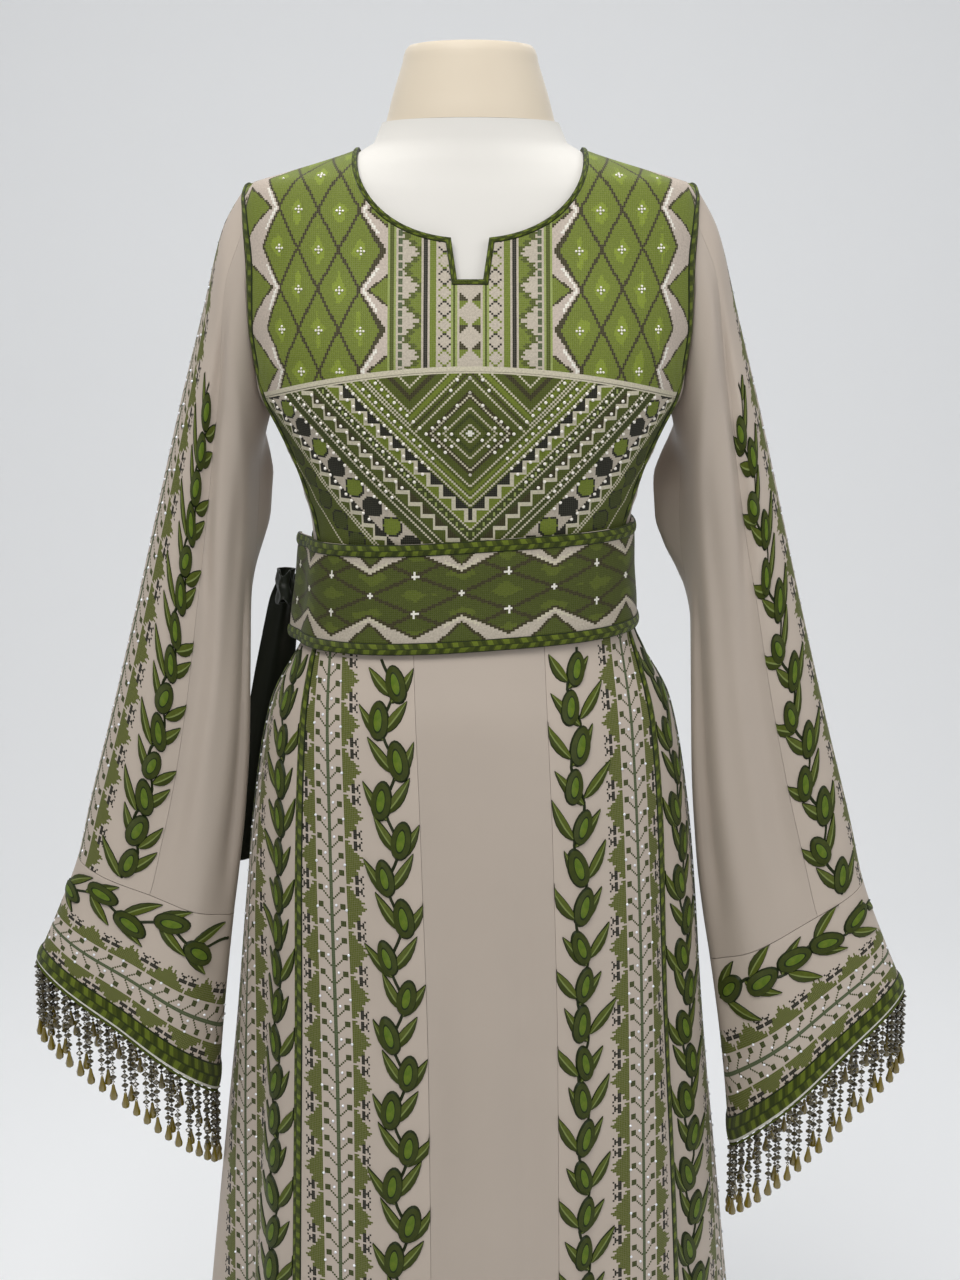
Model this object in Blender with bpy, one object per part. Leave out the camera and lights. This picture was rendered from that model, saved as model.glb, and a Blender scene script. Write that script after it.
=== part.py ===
"""A long embroidered robe with bell sleeves and a sash, on a limbless dress form and stand.

Metres, +Z up, the front faces -Y. Left and right are as seen from the front.
Every cloth piece is a wall between a grid of points on a surface and the same points moved in.
"""

import math

import bpy
import numpy as np

GAP = 0.0003  # between neighbouring pieces
CLOTH = 0.0015  # wall of the cloth
CUFF_WALL = 0.0020
BELT_WALL = 0.0024
TRIM_RISE = 0.0010  # how far a piping stands above the cloth beside it
PIPING = 0.0085  # width of a piping
BINDING = 0.0040  # width of the neck binding

WAIST_Z = 1.0640  # seam between bodice and skirt
HEM_Z = 0.0220
CHEST_SEAM_Z = 1.2495
CHEST_SEAM_DROP = 0.0235
ARMHOLE_Z = 1.3050
ARMHOLE_HALF = 0.0955
ARMHOLE_DEPTH = 0.0500
PRINCESS_DEPTH = 0.0480

NECK_Z = 1.4300
NECK_HALF = 0.0940
NECK_SCOOP = 0.0755
NECK_BACK_SCOOP = 0.0120
NECK_POWER = 2.2
SLIT_TOP_HALF = 0.0155
SLIT_FOOT_HALF = 0.0105
SLIT_Z = 1.3220

# Heights at which the pieces of the bodice share their edge points.
SEAM_ROWS = (1.1045, 1.1195, 1.145, 1.18, 1.21, 1.2262, 1.25, 1.2764)
SEAM_ROWS += (1.31, 1.34, 1.365, 1.385, 1.396)

# Columns of the yoke: where they start on the shoulder, and where all of them end on the chest seam.
SHOULDER_X = (0.122, 0.145, 0.167)
CHEST_FEET = (0.0, 0.0148, 0.0215, 0.044, 0.064, 0.082, 0.098)
CHEST_FEET += (0.112, 0.125, 0.136, 0.147, 0.158, 0.168, 0.178)
CHEST_CORNER = 1.2245  # height of the chest seam at the princess seam

BELT_Z = 1.0645
BELT_HALF_HEIGHT = 0.0460
BELT_TILT = 0.0520  # rise of the belt per metre to the right
BELT_TRIM = 0.0100

CENTRE_HALF = 0.0550  # half the plain centre panel
CUFF_TO = 1.25
STRANDS = 40  # bead strands of one cuff
STRAND_DROP = 0.0760
STRAND_HALF = 0.0026

# Height, half width, front depth, back depth, squareness.
BODY = (
    (0.800, 0.152, 0.106, 0.110, 2.1),
    (0.850, 0.160, 0.112, 0.120, 2.1),
    (0.900, 0.160, 0.113, 0.119, 2.1),
    (0.950, 0.154, 0.111, 0.110, 2.1),
    (1.020, 0.1405, 0.107, 0.096, 2.3),
    (1.064, 0.1365, 0.105, 0.090, 2.5),
    (1.110, 0.1380, 0.108, 0.091, 2.7),
    (1.160, 0.150, 0.118, 0.096, 2.7),
    (1.200, 0.168, 0.127, 0.102, 2.6),
    (1.225, 0.180, 0.131, 0.105, 2.6),
    (1.250, 0.186, 0.129, 0.107, 2.6),
    (1.290, 0.1925, 0.117, 0.107, 2.7),
    (1.330, 0.1955, 0.101, 0.104, 2.8),
    (1.360, 0.1965, 0.091, 0.100, 2.8),
    (1.385, 0.1955, 0.083, 0.096, 2.6),
    (1.400, 0.1900, 0.078, 0.092, 2.4),
    (1.410, 0.161, 0.074, 0.088, 2.2),
    (1.420, 0.127, 0.070, 0.083, 2.1),
    (1.430, 0.098, 0.066, 0.078, 2.0),
    (1.440, 0.082, 0.0635, 0.0755, 2.0),
    (1.455, 0.0745, 0.061, 0.073, 2.0),
    (1.475, 0.0688, 0.057, 0.069, 2.0),
    (1.498, 0.0615, 0.053, 0.065, 2.0),
    (1.515, 0.0560, 0.050, 0.062, 2.0),
)
SKIRT = (
    (0.022, 0.278, 0.238, 0.256, 2.2),
    (0.200, 0.260, 0.219, 0.236, 2.2),
    (0.385, 0.242, 0.199, 0.213, 2.2),
    (0.560, 0.225, 0.182, 0.192, 2.2),
    (0.668, 0.214, 0.171, 0.178, 2.2),
    (0.780, 0.204, 0.160, 0.163, 2.2),
    (0.859, 0.195, 0.151, 0.150, 2.2),
    (0.952, 0.178, 0.136, 0.130, 2.2),
    (1.000, 0.1540, 0.119, 0.107, 2.3),
    (1.020, 0.1440, 0.112, 0.098, 2.4),
    (1.064, 0.1365, 0.105, 0.090, 2.5),
)
# Along the sleeve: outer point, inner point (x, z), half depth, middle in y.
SLEEVE = (
    (0.00, 0.1925, 1.4005, 0.1720, 1.2095, 0.050, 0.000),
    (0.09, 0.2100, 1.3670, 0.1870, 1.1600, 0.050, -0.002),
    (0.22, 0.2290, 1.2960, 0.1910, 1.1000, 0.042, -0.006),
    (0.36, 0.2490, 1.2195, 0.1935, 1.0400, 0.038, -0.011),
    (0.52, 0.2705, 1.1300, 0.1950, 0.9750, 0.036, -0.016),
    (0.67, 0.2910, 1.0430, 0.1965, 0.9100, 0.036, -0.021),
    (0.82, 0.3140, 0.9500, 0.2010, 0.8430, 0.037, -0.026),
    (0.93, 0.3380, 0.8590, 0.2080, 0.7820, 0.039, -0.030),
    (1.00, 0.3500, 0.8080, 0.2130, 0.7440, 0.041, -0.033),
    (1.12, 0.3680, 0.7600, 0.2220, 0.6630, 0.044, -0.038),
    (1.25, 0.3880, 0.7130, 0.2300, 0.5750, 0.047, -0.043),
)
# Along the sleeve, arc of the band in front of the outer line and behind it.
BAND = (
    (0.00, 0.052, 0.070),
    (0.09, 0.040, 0.080),
    (0.22, 0.046, 0.088),
    (0.36, 0.056, 0.090),
    (1.00, 0.060, 0.090),
)
# Height, how far the front panels sit round to the right.
TURN = (
    (0.022, 0.021),
    (0.385, 0.021),
    (0.668, 0.019),
    (0.859, 0.014),
    (1.000, 0.008),
    (1.064, 0.006),
)
# Height, arc from the front centre panel's seam to the front piping, width of the side gore.
GORES = (
    (0.022, 0.128, 0.200),
    (0.385, 0.120, 0.160),
    (0.700, 0.114, 0.125),
    (0.859, 0.110, 0.098),
    (1.064, 0.098, 0.066),
)


def start_empty():
    for thing in list(bpy.data.objects):
        bpy.data.objects.remove(thing, do_unlink=True)


def table_curve(rows, column, at):
    """A smooth curve through one column of a table, with no overshoot between rows."""
    x = np.array([row[0] for row in rows])
    y = np.array([row[column] for row in rows])
    step = np.diff(x)
    slope = np.diff(y) / step
    tangent = np.zeros(len(x))
    tangent[0] = slope[0]
    tangent[-1] = slope[-1]
    same = slope[1:] * slope[:-1] > 0
    both = slope[1:] + slope[:-1]
    tangent[1:-1] = np.where(same, 2 * slope[1:] * slope[:-1] / np.where(same, both, 1), 0)
    at = np.clip(np.asarray(at, float), x[0], x[-1])
    i = np.clip(np.searchsorted(x, at, side="right") - 1, 0, len(x) - 2)
    t = (at - x[i]) / step[i]
    rise = y[i] * (1 + 2 * t) * (1 - t) ** 2 + y[i + 1] * t * t * (3 - 2 * t)
    return rise + step[i] * (tangent[i] * t * (1 - t) ** 2 - tangent[i + 1] * t * t * (1 - t))


def smooth(low, high, at):
    t = np.clip((at - low) / (high - low), 0, 1)
    return t * t * (3 - 2 * t)


def ring_point(rows, z, angle):
    """A point at a height, at an angle from the front towards +X."""
    a = table_curve(rows, 1, z)
    front = table_curve(rows, 2, z)
    back = table_curve(rows, 3, z)
    n = table_curve(rows, 4, z)
    depth = np.where(np.cos(angle) > 0, front, back)
    s = np.abs(np.sin(angle)) / a
    c = np.abs(np.cos(angle)) / depth
    r = (s**n + c**n) ** (-1 / n)
    return r, np.stack([r * np.sin(angle), -r * np.cos(angle), z + 0 * r], -1)


def body(z, angle):
    return ring_point(BODY, z, angle)[1]


def skirt_fold(z, angle):
    """Share by which the skirt's radius grows at its soft folds: little in front, more at the sides and back."""
    fall = smooth(0.95, 0.15, z) ** 1.2
    away = smooth(0.55, 1.15, np.abs(np.arctan2(np.sin(angle), np.cos(angle))))
    wave = 0.6 * np.cos(9 * angle + 0.5) + 0.4 * np.cos(13 * angle - 0.9)
    lean = 0.5 * np.cos(5 * angle + 2.0)
    return fall * (0.036 * away * wave + 0.007 * lean)


def skirt(z, angle):
    r, point = ring_point(SKIRT, z, angle)
    grow = 1 + skirt_fold(z, angle)
    return np.stack([point[..., 0] * grow, point[..., 1] * grow, point[..., 2]], -1)


def cross_normal(surface, u, v, du, dv):
    along = surface(u + du, v) - surface(u - du, v)
    across = surface(u, v + dv) - surface(u, v - dv)
    normal = np.cross(across, along)
    return normal / np.linalg.norm(normal, axis=-1, keepdims=True)


def outward(surface, z, angle):
    """The outward normal of a surface given by height and angle."""
    z = np.asarray(z, float) + 0 * np.asarray(angle, float)
    normal = cross_normal(surface, z, angle, 1e-4, 1e-4)
    point = surface(z, angle)
    flat = point[..., 0] * normal[..., 0] + point[..., 1] * normal[..., 1]
    return np.where((flat < 0)[..., None], -normal, normal)


def grid_body(name, outer, inner, closed=False):
    """One closed body between two grids of points (rows, columns). Closed joins the last column to the first."""
    rows, columns = outer.shape[:2]
    points = np.concatenate([outer.reshape(-1, 3), inner.reshape(-1, 3)])
    half = rows * columns
    faces = []

    def quad(a, b, c, d):
        faces.append((a, b, c))
        faces.append((a, c, d))

    last = columns if closed else columns - 1
    for r in range(rows - 1):
        for c in range(last):
            e = (c + 1) % columns
            a, b = r * columns + c, r * columns + e
            p, q = (r + 1) * columns + c, (r + 1) * columns + e
            lean = points[a] + points[q] - points[b] - points[p]
            if lean @ (points[a] - points[half + a] + points[q] - points[half + q]) > 0:
                quad(a, b, q, p)
                quad(half + q, half + b, half + a, half + p)
            else:
                quad(b, q, p, a)
                quad(half + b, half + a, half + p, half + q)
    for c in range(last):
        e = (c + 1) % columns
        top = (rows - 1) * columns
        quad(c, half + c, half + e, e)
        quad(top + c, top + e, half + top + e, half + top + c)
    if not closed:
        for r in range(rows - 1):
            a, p = r * columns, (r + 1) * columns
            b, q = a + columns - 1, p + columns - 1
            quad(a, p, half + p, half + a)
            quad(b, half + b, half + q, q)
    return make_body(name, points, faces)


def make_body(name, points, faces):
    points = np.asarray(points, float)
    faces = np.asarray(faces, int)
    corners = points[faces]
    volume = np.einsum("ij,ij->i", corners[:, 0], np.cross(corners[:, 1], corners[:, 2])).sum()
    if volume < 0:
        faces = faces[:, ::-1]
    mesh = bpy.data.meshes.new(name)
    mesh.from_pydata(points.tolist(), [], faces.tolist())
    mesh.update()
    thing = bpy.data.objects.new(name, mesh)
    bpy.context.scene.collection.objects.link(thing)
    return thing


def wall(name, surface, z, angle, rise=0.0, thick=CLOTH, closed=False):
    """A cloth piece on a surface. Rise moves the outside face out, per point or for all."""
    point = surface(z, angle)
    normal = outward(surface, z, angle)
    rise = np.asarray(rise, float) + np.zeros(point.shape[:2])
    return grid_body(name, point + normal * rise[..., None], point - normal * thick, closed)


def angle_at(rows, x, z, back=False):
    """The angle of the point of a ring with this x, in front or at the back."""
    a = table_curve(rows, 1, z)
    depth = table_curve(rows, 3 if back else 2, z)
    n = table_curve(rows, 4, z)
    y = depth * np.clip(1 - np.clip(np.abs(x) / a, 0, 1) ** n, 0, 1) ** (1 / n)
    return np.arctan2(x, -y if back else y)


def x_at_depth(y, z, back=False):
    a = table_curve(BODY, 1, z)
    depth = table_curve(BODY, 3 if back else 2, z)
    n = table_curve(BODY, 4, z)
    return a * (1 - np.clip(np.abs(y) / depth, 0, 1) ** n) ** (1 / n)


def ridge_height(x, off):
    """The height at which the shoulder is off metres away from its ridge in y, at this x."""
    low = np.full(np.shape(x), 1.398)
    high = np.full(np.shape(x), 1.436)
    for _ in range(40):
        z = (low + high) / 2
        a = table_curve(BODY, 1, z)
        n = table_curve(BODY, 4, z)
        y = 0.07 * np.clip(1 - np.clip(x / a, 0, 1) ** n, 0, 1) ** (1 / n)
        outside = (x >= a) | (y < off)
        high = np.where(outside, z, high)
        low = np.where(outside, low, z)
    return low


def edge_depth(z, extra):
    """How far in front of the middle the armhole and, lower down, the princess seam lies."""
    high = ARMHOLE_HALF + 0.3 * extra
    lift = np.clip(1 - ((z - ARMHOLE_Z) / high) ** 2, 0, 1)
    hole = (ARMHOLE_DEPTH + extra) * np.sqrt(lift)
    return np.where(z < 1.278, PRINCESS_DEPTH + extra, hole)


def chest_seam(x):
    return CHEST_SEAM_Z - CHEST_SEAM_DROP * (x / 0.17) ** 2


def belt_lift(x):
    return BELT_TILT * x


def under_belt(z, x, below):
    """1 where a piping may stand proud of the cloth and 0 under the belt."""
    if below:
        edge = BELT_Z - BELT_HALF_HEIGHT + belt_lift(x)
        return smooth(edge - 0.002, edge - 0.008, z)
    edge = BELT_Z + BELT_HALF_HEIGHT + belt_lift(x)
    return smooth(edge + 0.002, edge + 0.008, z)


def shoulder_top(x, off=GAP / 2):
    """The height of the shoulder at this x, off metres in front of or behind its ridge."""
    return float(ridge_height(np.array(x), off))


def edge_x(z, extra, back=False):
    return x_at_depth(edge_depth(z, extra), z, back)


def edge_heights(low, extra):
    """Heights of the rows along the armhole and princess seams, from low to the shoulder."""
    tip = ARMHOLE_Z + ARMHOLE_HALF + 0.3 * extra - 0.0006
    inner = [z for z in SEAM_ROWS if low + 0.006 < z]
    return np.array([low] + inner + [tip])


def neck_stations(grow, scoop, slit):
    """Points (x, z) along half the neckline, moved out by grow, from the middle to the shoulder ridge."""
    power = 2 / NECK_POWER
    width = NECK_HALF + grow
    x, z = [0.0], [SLIT_Z - grow]
    if slit:
        x += [SLIT_FOOT_HALF + grow, SLIT_TOP_HALF + grow]
        round_part = (1 - (x[-1] / width) ** NECK_POWER) ** (1 / NECK_POWER)
        z += [SLIT_Z - grow, NECK_Z - (scoop + grow) * round_part]
        turns = np.radians([24, 41, 56, 69, 79, 86])
    else:
        z = [NECK_Z - scoop - grow]
        turns = np.radians([20, 40, 58, 74, 86])
    x += list(width * np.sin(turns) ** power)
    z += list(NECK_Z - (scoop + grow) * np.cos(turns) ** power)
    for off in (0.013, GAP / 2):
        x.append(width)
        z.append(shoulder_top(width, off))
    return x, z


def down_from_ridge(x, back):
    """Heights of a cut through the bodice at this x and the arc length to each from the shoulder ridge."""
    top = shoulder_top(x, 1e-6)
    z = top - (top - WAIST_Z + 0.01) * (1 - np.cos(np.linspace(0, np.pi / 2, 500))) ** 1.4
    angle = angle_at(BODY, x + 0 * z, z, back)
    point = body(z, angle)
    step = np.linalg.norm(np.diff(point[:, 1:], axis=0), axis=1)
    return z, np.concatenate([[0], np.cumsum(step)])


def bent(x, z, extra, back):
    """Moves a column in with the side edge, which lies 186 mm out at the shoulder."""
    return x + (edge_x(np.minimum(z, 1.39), extra, back) - 0.186) * (x / 0.186) ** 3


def fan(tops, feet, low, extra, edge_z, back, packed):
    """Rows and columns (z, x) of half a bodice piece: columns fan from the neck and shoulder to the lower edge."""
    edge = body(edge_z[::-1], angle_at(BODY, edge_x(edge_z[::-1], extra, back), edge_z[::-1], back))
    run = np.concatenate([[0], np.cumsum(np.linalg.norm(np.diff(edge, axis=0), axis=1))])
    columns = []
    for (top_x, top_z), foot in zip(tops, feet):
        lean = (foot / 0.186) ** 2
        shares = np.linspace(0, 1, len(edge_z)) ** packed * (1 - lean) + run / run[-1] * lean
        z, arc = down_from_ridge(top_x, back)
        start = np.interp(-top_z, -z, arc)
        column = []
        for share in shares:
            x = top_x + (foot - top_x) * share
            z, arc = down_from_ridge(x, back)
            end = np.interp(-low(foot), -z, arc)
            height = float(np.interp(start + (end - start) * share, arc, z))
            if share in (0, 1):
                height = top_z if share == 0 else low(foot)
            column.append((height, float(bent(x, height, extra, back)) if share else x))
        columns.append((np.array([c[0] for c in column]), np.array([c[1] for c in column])))
    columns.append((edge_z[::-1], edge_x(edge_z[::-1], extra, back)))
    return columns


def both_halves(columns):
    z = np.stack([c[0] for c in columns[:0:-1]] + [c[0] for c in columns], 1)
    x = np.stack([-c[1] for c in columns[:0:-1]] + [c[1] for c in columns], 1)
    return z, x


def seam_x(foot):
    return float(bent(foot, CHEST_CORNER, PIPING + GAP, False))


def build_yoke():
    extra = PIPING + GAP
    edge_z = edge_heights(chest_seam(seam_x(0.186)) + GAP, extra)
    tops = list(zip(*neck_stations(BINDING + GAP, NECK_SCOOP, True)))
    tops += [(x, shoulder_top(x)) for x in SHOULDER_X]

    def low(foot):
        return chest_seam(seam_x(foot)) + GAP

    z, x = both_halves(fan(tops, CHEST_FEET, low, extra, edge_z, False, 1.6))
    wall("bodice_yoke", body, z, angle_at(BODY, x, z))


def build_chest():
    extra = PIPING + GAP
    seam = chest_seam(seam_x(0.186))
    edge_z = np.array([WAIST_Z] + [z for z in SEAM_ROWS if WAIST_Z < z < seam - 0.006] + [seam])
    shares = (edge_z - WAIST_Z) / (seam - WAIST_Z)
    columns = []
    for foot in CHEST_FEET[:1] + CHEST_FEET[2:6] + CHEST_FEET[7::2]:
        x = seam_x(foot)
        z = WAIST_Z + (chest_seam(x) - WAIST_Z) * shares
        columns.append((z, x * edge_x(edge_z, extra) / seam_x(0.186)))
    columns.append((edge_z, edge_x(edge_z, extra)))
    z, x = both_halves(columns)
    wall("bodice_chest", body, z, angle_at(BODY, x, z))


def build_back():
    edge_z = edge_heights(WAIST_Z, 0)
    tops = list(zip(*neck_stations(BINDING + GAP, NECK_BACK_SCOOP, False)))
    tops += [(x, shoulder_top(x)) for x in SHOULDER_X]
    feet = (0, 0.026, 0.05, 0.072, 0.092, 0.109, 0.124, 0.137, 0.150, 0.162, 0.174)

    def low(x):
        return WAIST_Z

    z, x = both_halves(fan(tops, feet, low, 0, edge_z, True, 1.8))
    wall("bodice_back", body, z, angle_at(BODY, x, z, back=True))


def build_bodice_sides():
    y = np.linspace(-1, 1, 7) * (PRINCESS_DEPTH - GAP)
    top = ARMHOLE_Z - ARMHOLE_HALF * np.sqrt(1 - (y / ARMHOLE_DEPTH) ** 2)
    edge_z = np.array([z for z in SEAM_ROWS if z < top[0] - 0.004] + [top[0]])
    edge_z = np.concatenate([[WAIST_Z], edge_z])
    share = ((edge_z - WAIST_Z) / (top[0] - WAIST_Z))[:, None]
    z = WAIST_Z + (top - WAIST_Z) * share
    y = y + 0 * z
    x = np.where(y < 0, x_at_depth(y, z), x_at_depth(y, z, True))
    angle = np.arctan2(x, -y)
    wall("bodice_side_right", body, z, angle)
    wall("bodice_side_left", body, z, -angle)


def build_bodice_pipings():
    for side, name in ((-1, "left"), (1, "right")):
        z = np.stack([edge_heights(WAIST_Z, 0), edge_heights(WAIST_Z, PIPING)], 1)
        x = np.stack([edge_x(z[:, 0], 0.0), edge_x(z[:, 1], PIPING)], 1)
        rise = TRIM_RISE * under_belt(z, side * x, below=False)
        wall("bodice_piping_" + name, body, z, side * angle_at(BODY, x, z), rise)


def build_neck_binding():
    heights, angles = [], []
    for grow in (0.0, BINDING):
        x, z = (np.array(v) for v in neck_stations(grow, NECK_SCOOP, True))
        front = angle_at(BODY, x, z)
        front[-1] = np.pi / 2
        x, behind = (np.array(v[::-1]) for v in neck_stations(grow, NECK_BACK_SCOOP, False))
        back = angle_at(BODY, x, behind, back=True)[1:]
        z = np.concatenate([z, behind[1:]])
        angle = np.concatenate([front, back])
        heights.append(np.concatenate([z, z[-2:0:-1]]))
        angles.append(np.concatenate([angle, -angle[-2:0:-1]]))
    wall("neck_binding", body, np.stack(heights), np.stack(angles), rise=0.0006, closed=True)


def dense_arc(surface, z):
    """Angles from the front to the back centre and the arc length to each, at one height."""
    angle = np.linspace(0, np.pi, 721)
    point = surface(np.full(angle.shape, z), angle)
    step = np.linalg.norm(np.diff(point, axis=0), axis=1)
    return angle, np.concatenate([[0], np.cumsum(step)])


def skirt_marks(z, side):
    """Angles of the seams at one height, from the front centre to the back centre, on one side."""
    angle, arc = dense_arc(lambda h, a: skirt(h, side * a), z)
    gore = float(table_curve(GORES, 1, z))
    side_gore = float(table_curve(GORES, 2, z))
    shift = side * float(table_curve(TURN, 1, z))
    total = arc[-1]
    front_piping = CENTRE_HALF + gore
    side_seam = front_piping + PIPING + side_gore
    rest = total - side_seam - PIPING
    back_centre = 0.15 * rest + 0.020
    back_piping = side_seam + PIPING + 0.68 * (rest - back_centre)
    at = [0, CENTRE_HALF, front_piping, front_piping + PIPING, side_seam, side_seam + PIPING]
    at += [back_piping, back_piping + PIPING, total - back_centre, total]
    moved = shift * np.array([1, 1, 1, 1, 0.5, 0.5, 0, 0, 0, 0])
    return np.array(at) + moved, angle, arc


def build_skirt():
    heights = np.array([HEM_Z, 0.15, 0.29, 0.42, 0.54, 0.65, 0.75, 0.84, 0.91, 0.965, 1.008, 1.0245])
    heights = np.append(heights, WAIST_Z - GAP)
    spans = (
        ("skirt_front", 1, 2, 4),
        ("skirt_piping_front", 2, 3, 1),
        ("skirt_side_front", 3, 4, 5),
        ("skirt_piping_side", 4, 5, 1),
        ("skirt_side_back", 5, 6, 6),
        ("skirt_piping_back", 6, 7, 1),
        ("skirt_back", 7, 8, 4),
    )
    middles = {}
    for side, label in ((-1, "left"), (1, "right")):
        marks = [skirt_marks(z, side) for z in heights]
        for name, first, last, cells in spans:
            angles = []
            for at, angle, arc in marks:
                across = np.linspace(at[first] + GAP / 2, at[last] - GAP / 2, cells + 1)
                angles.append(side * np.interp(across, arc, angle))
            z = heights[:, None] + np.zeros((1, cells + 1))
            angles = np.array(angles)
            rise = 0.0
            if "piping" in name:
                rise = TRIM_RISE * under_belt(z, skirt(z, angles)[..., 0], below=True)
            wall(name + "_" + label, skirt, z, angles, rise)
        edges = []
        for at, angle, arc in marks:
            front = np.interp(at[1] - GAP / 2, arc, angle)
            back = np.interp(at[8] + GAP / 2, arc, angle)
            edges.append((side * front, side * back))
        middles[side] = np.array(edges)
    share = np.linspace(0, 1, 5)[None, :]
    z = heights[:, None] + 0 * share
    left, right = middles[-1][:, :1], middles[1][:, :1]
    wall("skirt_front_centre", skirt, z, left + (right - left) * share)
    left, right = middles[1][:, 1:], middles[-1][:, 1:] + 2 * np.pi
    wall("skirt_back_centre", skirt, z, left + (right - left) * share)


def belt_surface(share, angle):
    """The belt's inside face: straight from its lower to its upper edge."""
    x = 0.142 * np.sin(angle)
    low = BELT_Z - BELT_HALF_HEIGHT + belt_lift(x)
    high = BELT_Z + BELT_HALF_HEIGHT + belt_lift(x)
    foot = skirt(low, angle)
    head = body(high, angle)
    middle = foot + (head - foot) * share[..., None]
    free = smooth(-1.35, -1.66, angle) * 0.011
    away = np.stack([-np.ones_like(angle), -0.35 + 0 * angle, 0 * angle], -1)
    return middle + away * free[..., None]


def belt_grid(shares, angles, off):
    share, angle = np.meshgrid(shares, angles, indexing="ij")
    point = belt_surface(share, angle)
    normal = cross_normal(belt_surface, share, angle, 1e-3, 1e-4)
    flat = point[..., 0] * normal[..., 0] + point[..., 1] * normal[..., 1]
    normal = np.where((flat < 0)[..., None], -normal, normal)
    return point + normal * off


def build_belt():
    steps = np.radians(np.concatenate([[-97, -93, -88], np.arange(-80, 252, 9), [257]]))
    angles = np.unwrap(np.arctan2(0.140 * np.sin(steps), 0.1 * np.cos(steps)))
    seat = 0.0009
    trim = BELT_TRIM / (2 * BELT_HALF_HEIGHT)

    def off(share, more):
        return (more + 0.0010 - 0.0007 * np.array(share))[:, None, None]

    outer = belt_grid([0, 1], angles, off([0, 1], seat + BELT_WALL))
    grid_body("belt", outer, belt_grid([0, 1], angles, off([0, 1], seat)))
    face = seat + BELT_WALL + GAP
    for name, ends in (("belt_trim_bottom", [0, trim]), ("belt_trim_top", [1 - trim, 1])):
        outer = belt_grid(ends, angles, off(ends, face + 0.0012))
        grid_body(name, outer, belt_grid(ends, angles, off(ends, face)))


def ribbon(name, middle, across, thick):
    """A flat strip. Middle and across give its points and its half width at each of them."""
    middle, across = np.array(middle), np.array(across)
    along = np.gradient(middle, axis=0)
    normal = np.cross(along, across)
    normal /= np.linalg.norm(normal, axis=1, keepdims=True)
    columns = np.stack([middle - across, middle, middle + across], 1)
    bow = np.array([0, 0.004, 0])[None, :, None] * normal[:, None, :]
    front = columns + bow + normal[:, None, :] * thick / 2
    rear = columns + bow - normal[:, None, :] * thick / 2
    grid_body(name, front, rear)


def build_tie():
    """The satin tie at the belt's left end: a flat bow with its loop, and its tail."""
    turn = np.radians(np.arange(-20, 301, 40))
    middle = np.stack(
        [-0.1670 + 0.007 * np.cos(turn), 0.0220 + 0.009 * np.sin(turn), 1.0520 + 0 * turn], 1
    )
    across = np.stack([0 * turn, 0.003 + 0 * turn, 0.0150 + 0 * turn], 1)
    ribbon("belt_tie_bow", middle, across, 0.0016)
    fall = np.array(
        [
            (-0.1660, 0.0400, 1.060),
            (-0.1700, 0.0440, 1.040),
            (-0.1740, 0.0480, 1.010),
            (-0.1810, 0.0530, 0.970),
            (-0.1900, 0.0570, 0.920),
            (-0.2000, 0.0600, 0.870),
            (-0.2070, 0.0600, 0.820),
            (-0.2110, 0.0600, 0.785),
        ]
    )
    half = np.array([0.009, 0.013, 0.016, 0.018, 0.019, 0.019, 0.019, 0.019])
    lean = np.array([0.55, 0.50, 0.40, 0.30, 0.25, 0.2, 0.2, 0.2])
    across = np.stack([half * np.cos(lean), half * np.sin(lean), 0 * half], 1)
    ribbon("belt_tie_tail", fall, across, 0.0015)


def armhole(turn):
    """A point of the armhole, just inside its edge. Turn is 0 on the shoulder and runs down the front."""
    inside = 0.0013
    z = ARMHOLE_Z + (ARMHOLE_HALF - inside) * np.cos(turn)
    y = -(ARMHOLE_DEPTH - inside) * np.sin(turn)
    x = np.where(y < 0, x_at_depth(y, z), x_at_depth(y, z, True))
    return np.stack([x + 0.0005, y, z], -1)


def sleeve_shift(s, side):
    """How the two sleeves differ in height: the left one hangs a little higher."""
    return -side * 0.011 * s, -side * 0.021 * s


def sleeve(s, turn, side):
    """A point of a sleeve. s runs from 0 at the armhole past 1 at the cuff's seam to 1.25 at its hem."""
    s = np.asarray(s, float) + 0 * np.asarray(turn, float)
    ox, oz, ix, iz, depth, middle = (table_curve(SLEEVE, i, s) for i in range(1, 7))
    up, under = sleeve_shift(s, side)
    oz = oz + up
    iz = iz + under
    ix = ix + 0.006 * max(side, 0) * smooth(0.85, 1.2, s)
    c, k = np.cos(turn), np.sin(turn)
    power = 2 / 2.15
    cc = np.sign(c) * np.abs(c) ** power
    kk = np.sign(k) * np.abs(k) ** power
    x = (ox + ix) / 2 + (ox - ix) / 2 * cc
    z = (oz + iz) / 2 + (oz - iz) / 2 * cc
    y = middle - depth * kk
    # The cloth under the arm falls in behind the front fold.
    behind = np.exp(-(((np.mod(turn, 2 * np.pi) - 3.75) / 0.5) ** 2))
    x = x - (0.023 + 0.007 * side) * behind * smooth(0.03, 0.15, s) * smooth(0.38, 0.2, s)
    fall = smooth(0.1, 0.5, s) * smooth(1.25, 0.9, s)
    crease = np.cos(5.0 * turn + 2.4) * np.exp(-(((turn - 2.45) / 0.55) ** 2))
    y = y - 0.0045 * fall * crease
    swing = smooth(0.3, 1.0, s) * 0.004 * np.cos(4 * turn + 0.8 + 0.6 * side)
    y = y + swing * (1 - np.abs(c))
    z = z + 0.010 * smooth(0.95, 1.25, s) * np.maximum(k, 0)
    point = np.stack([x, y, z], -1)
    start = armhole(turn)
    keep = (1 - smooth(0.0, 0.085, s))[..., None]
    # Near the armhole the rings leave it outwards, never across it.
    return point * (1 - keep) + start * keep


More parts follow.
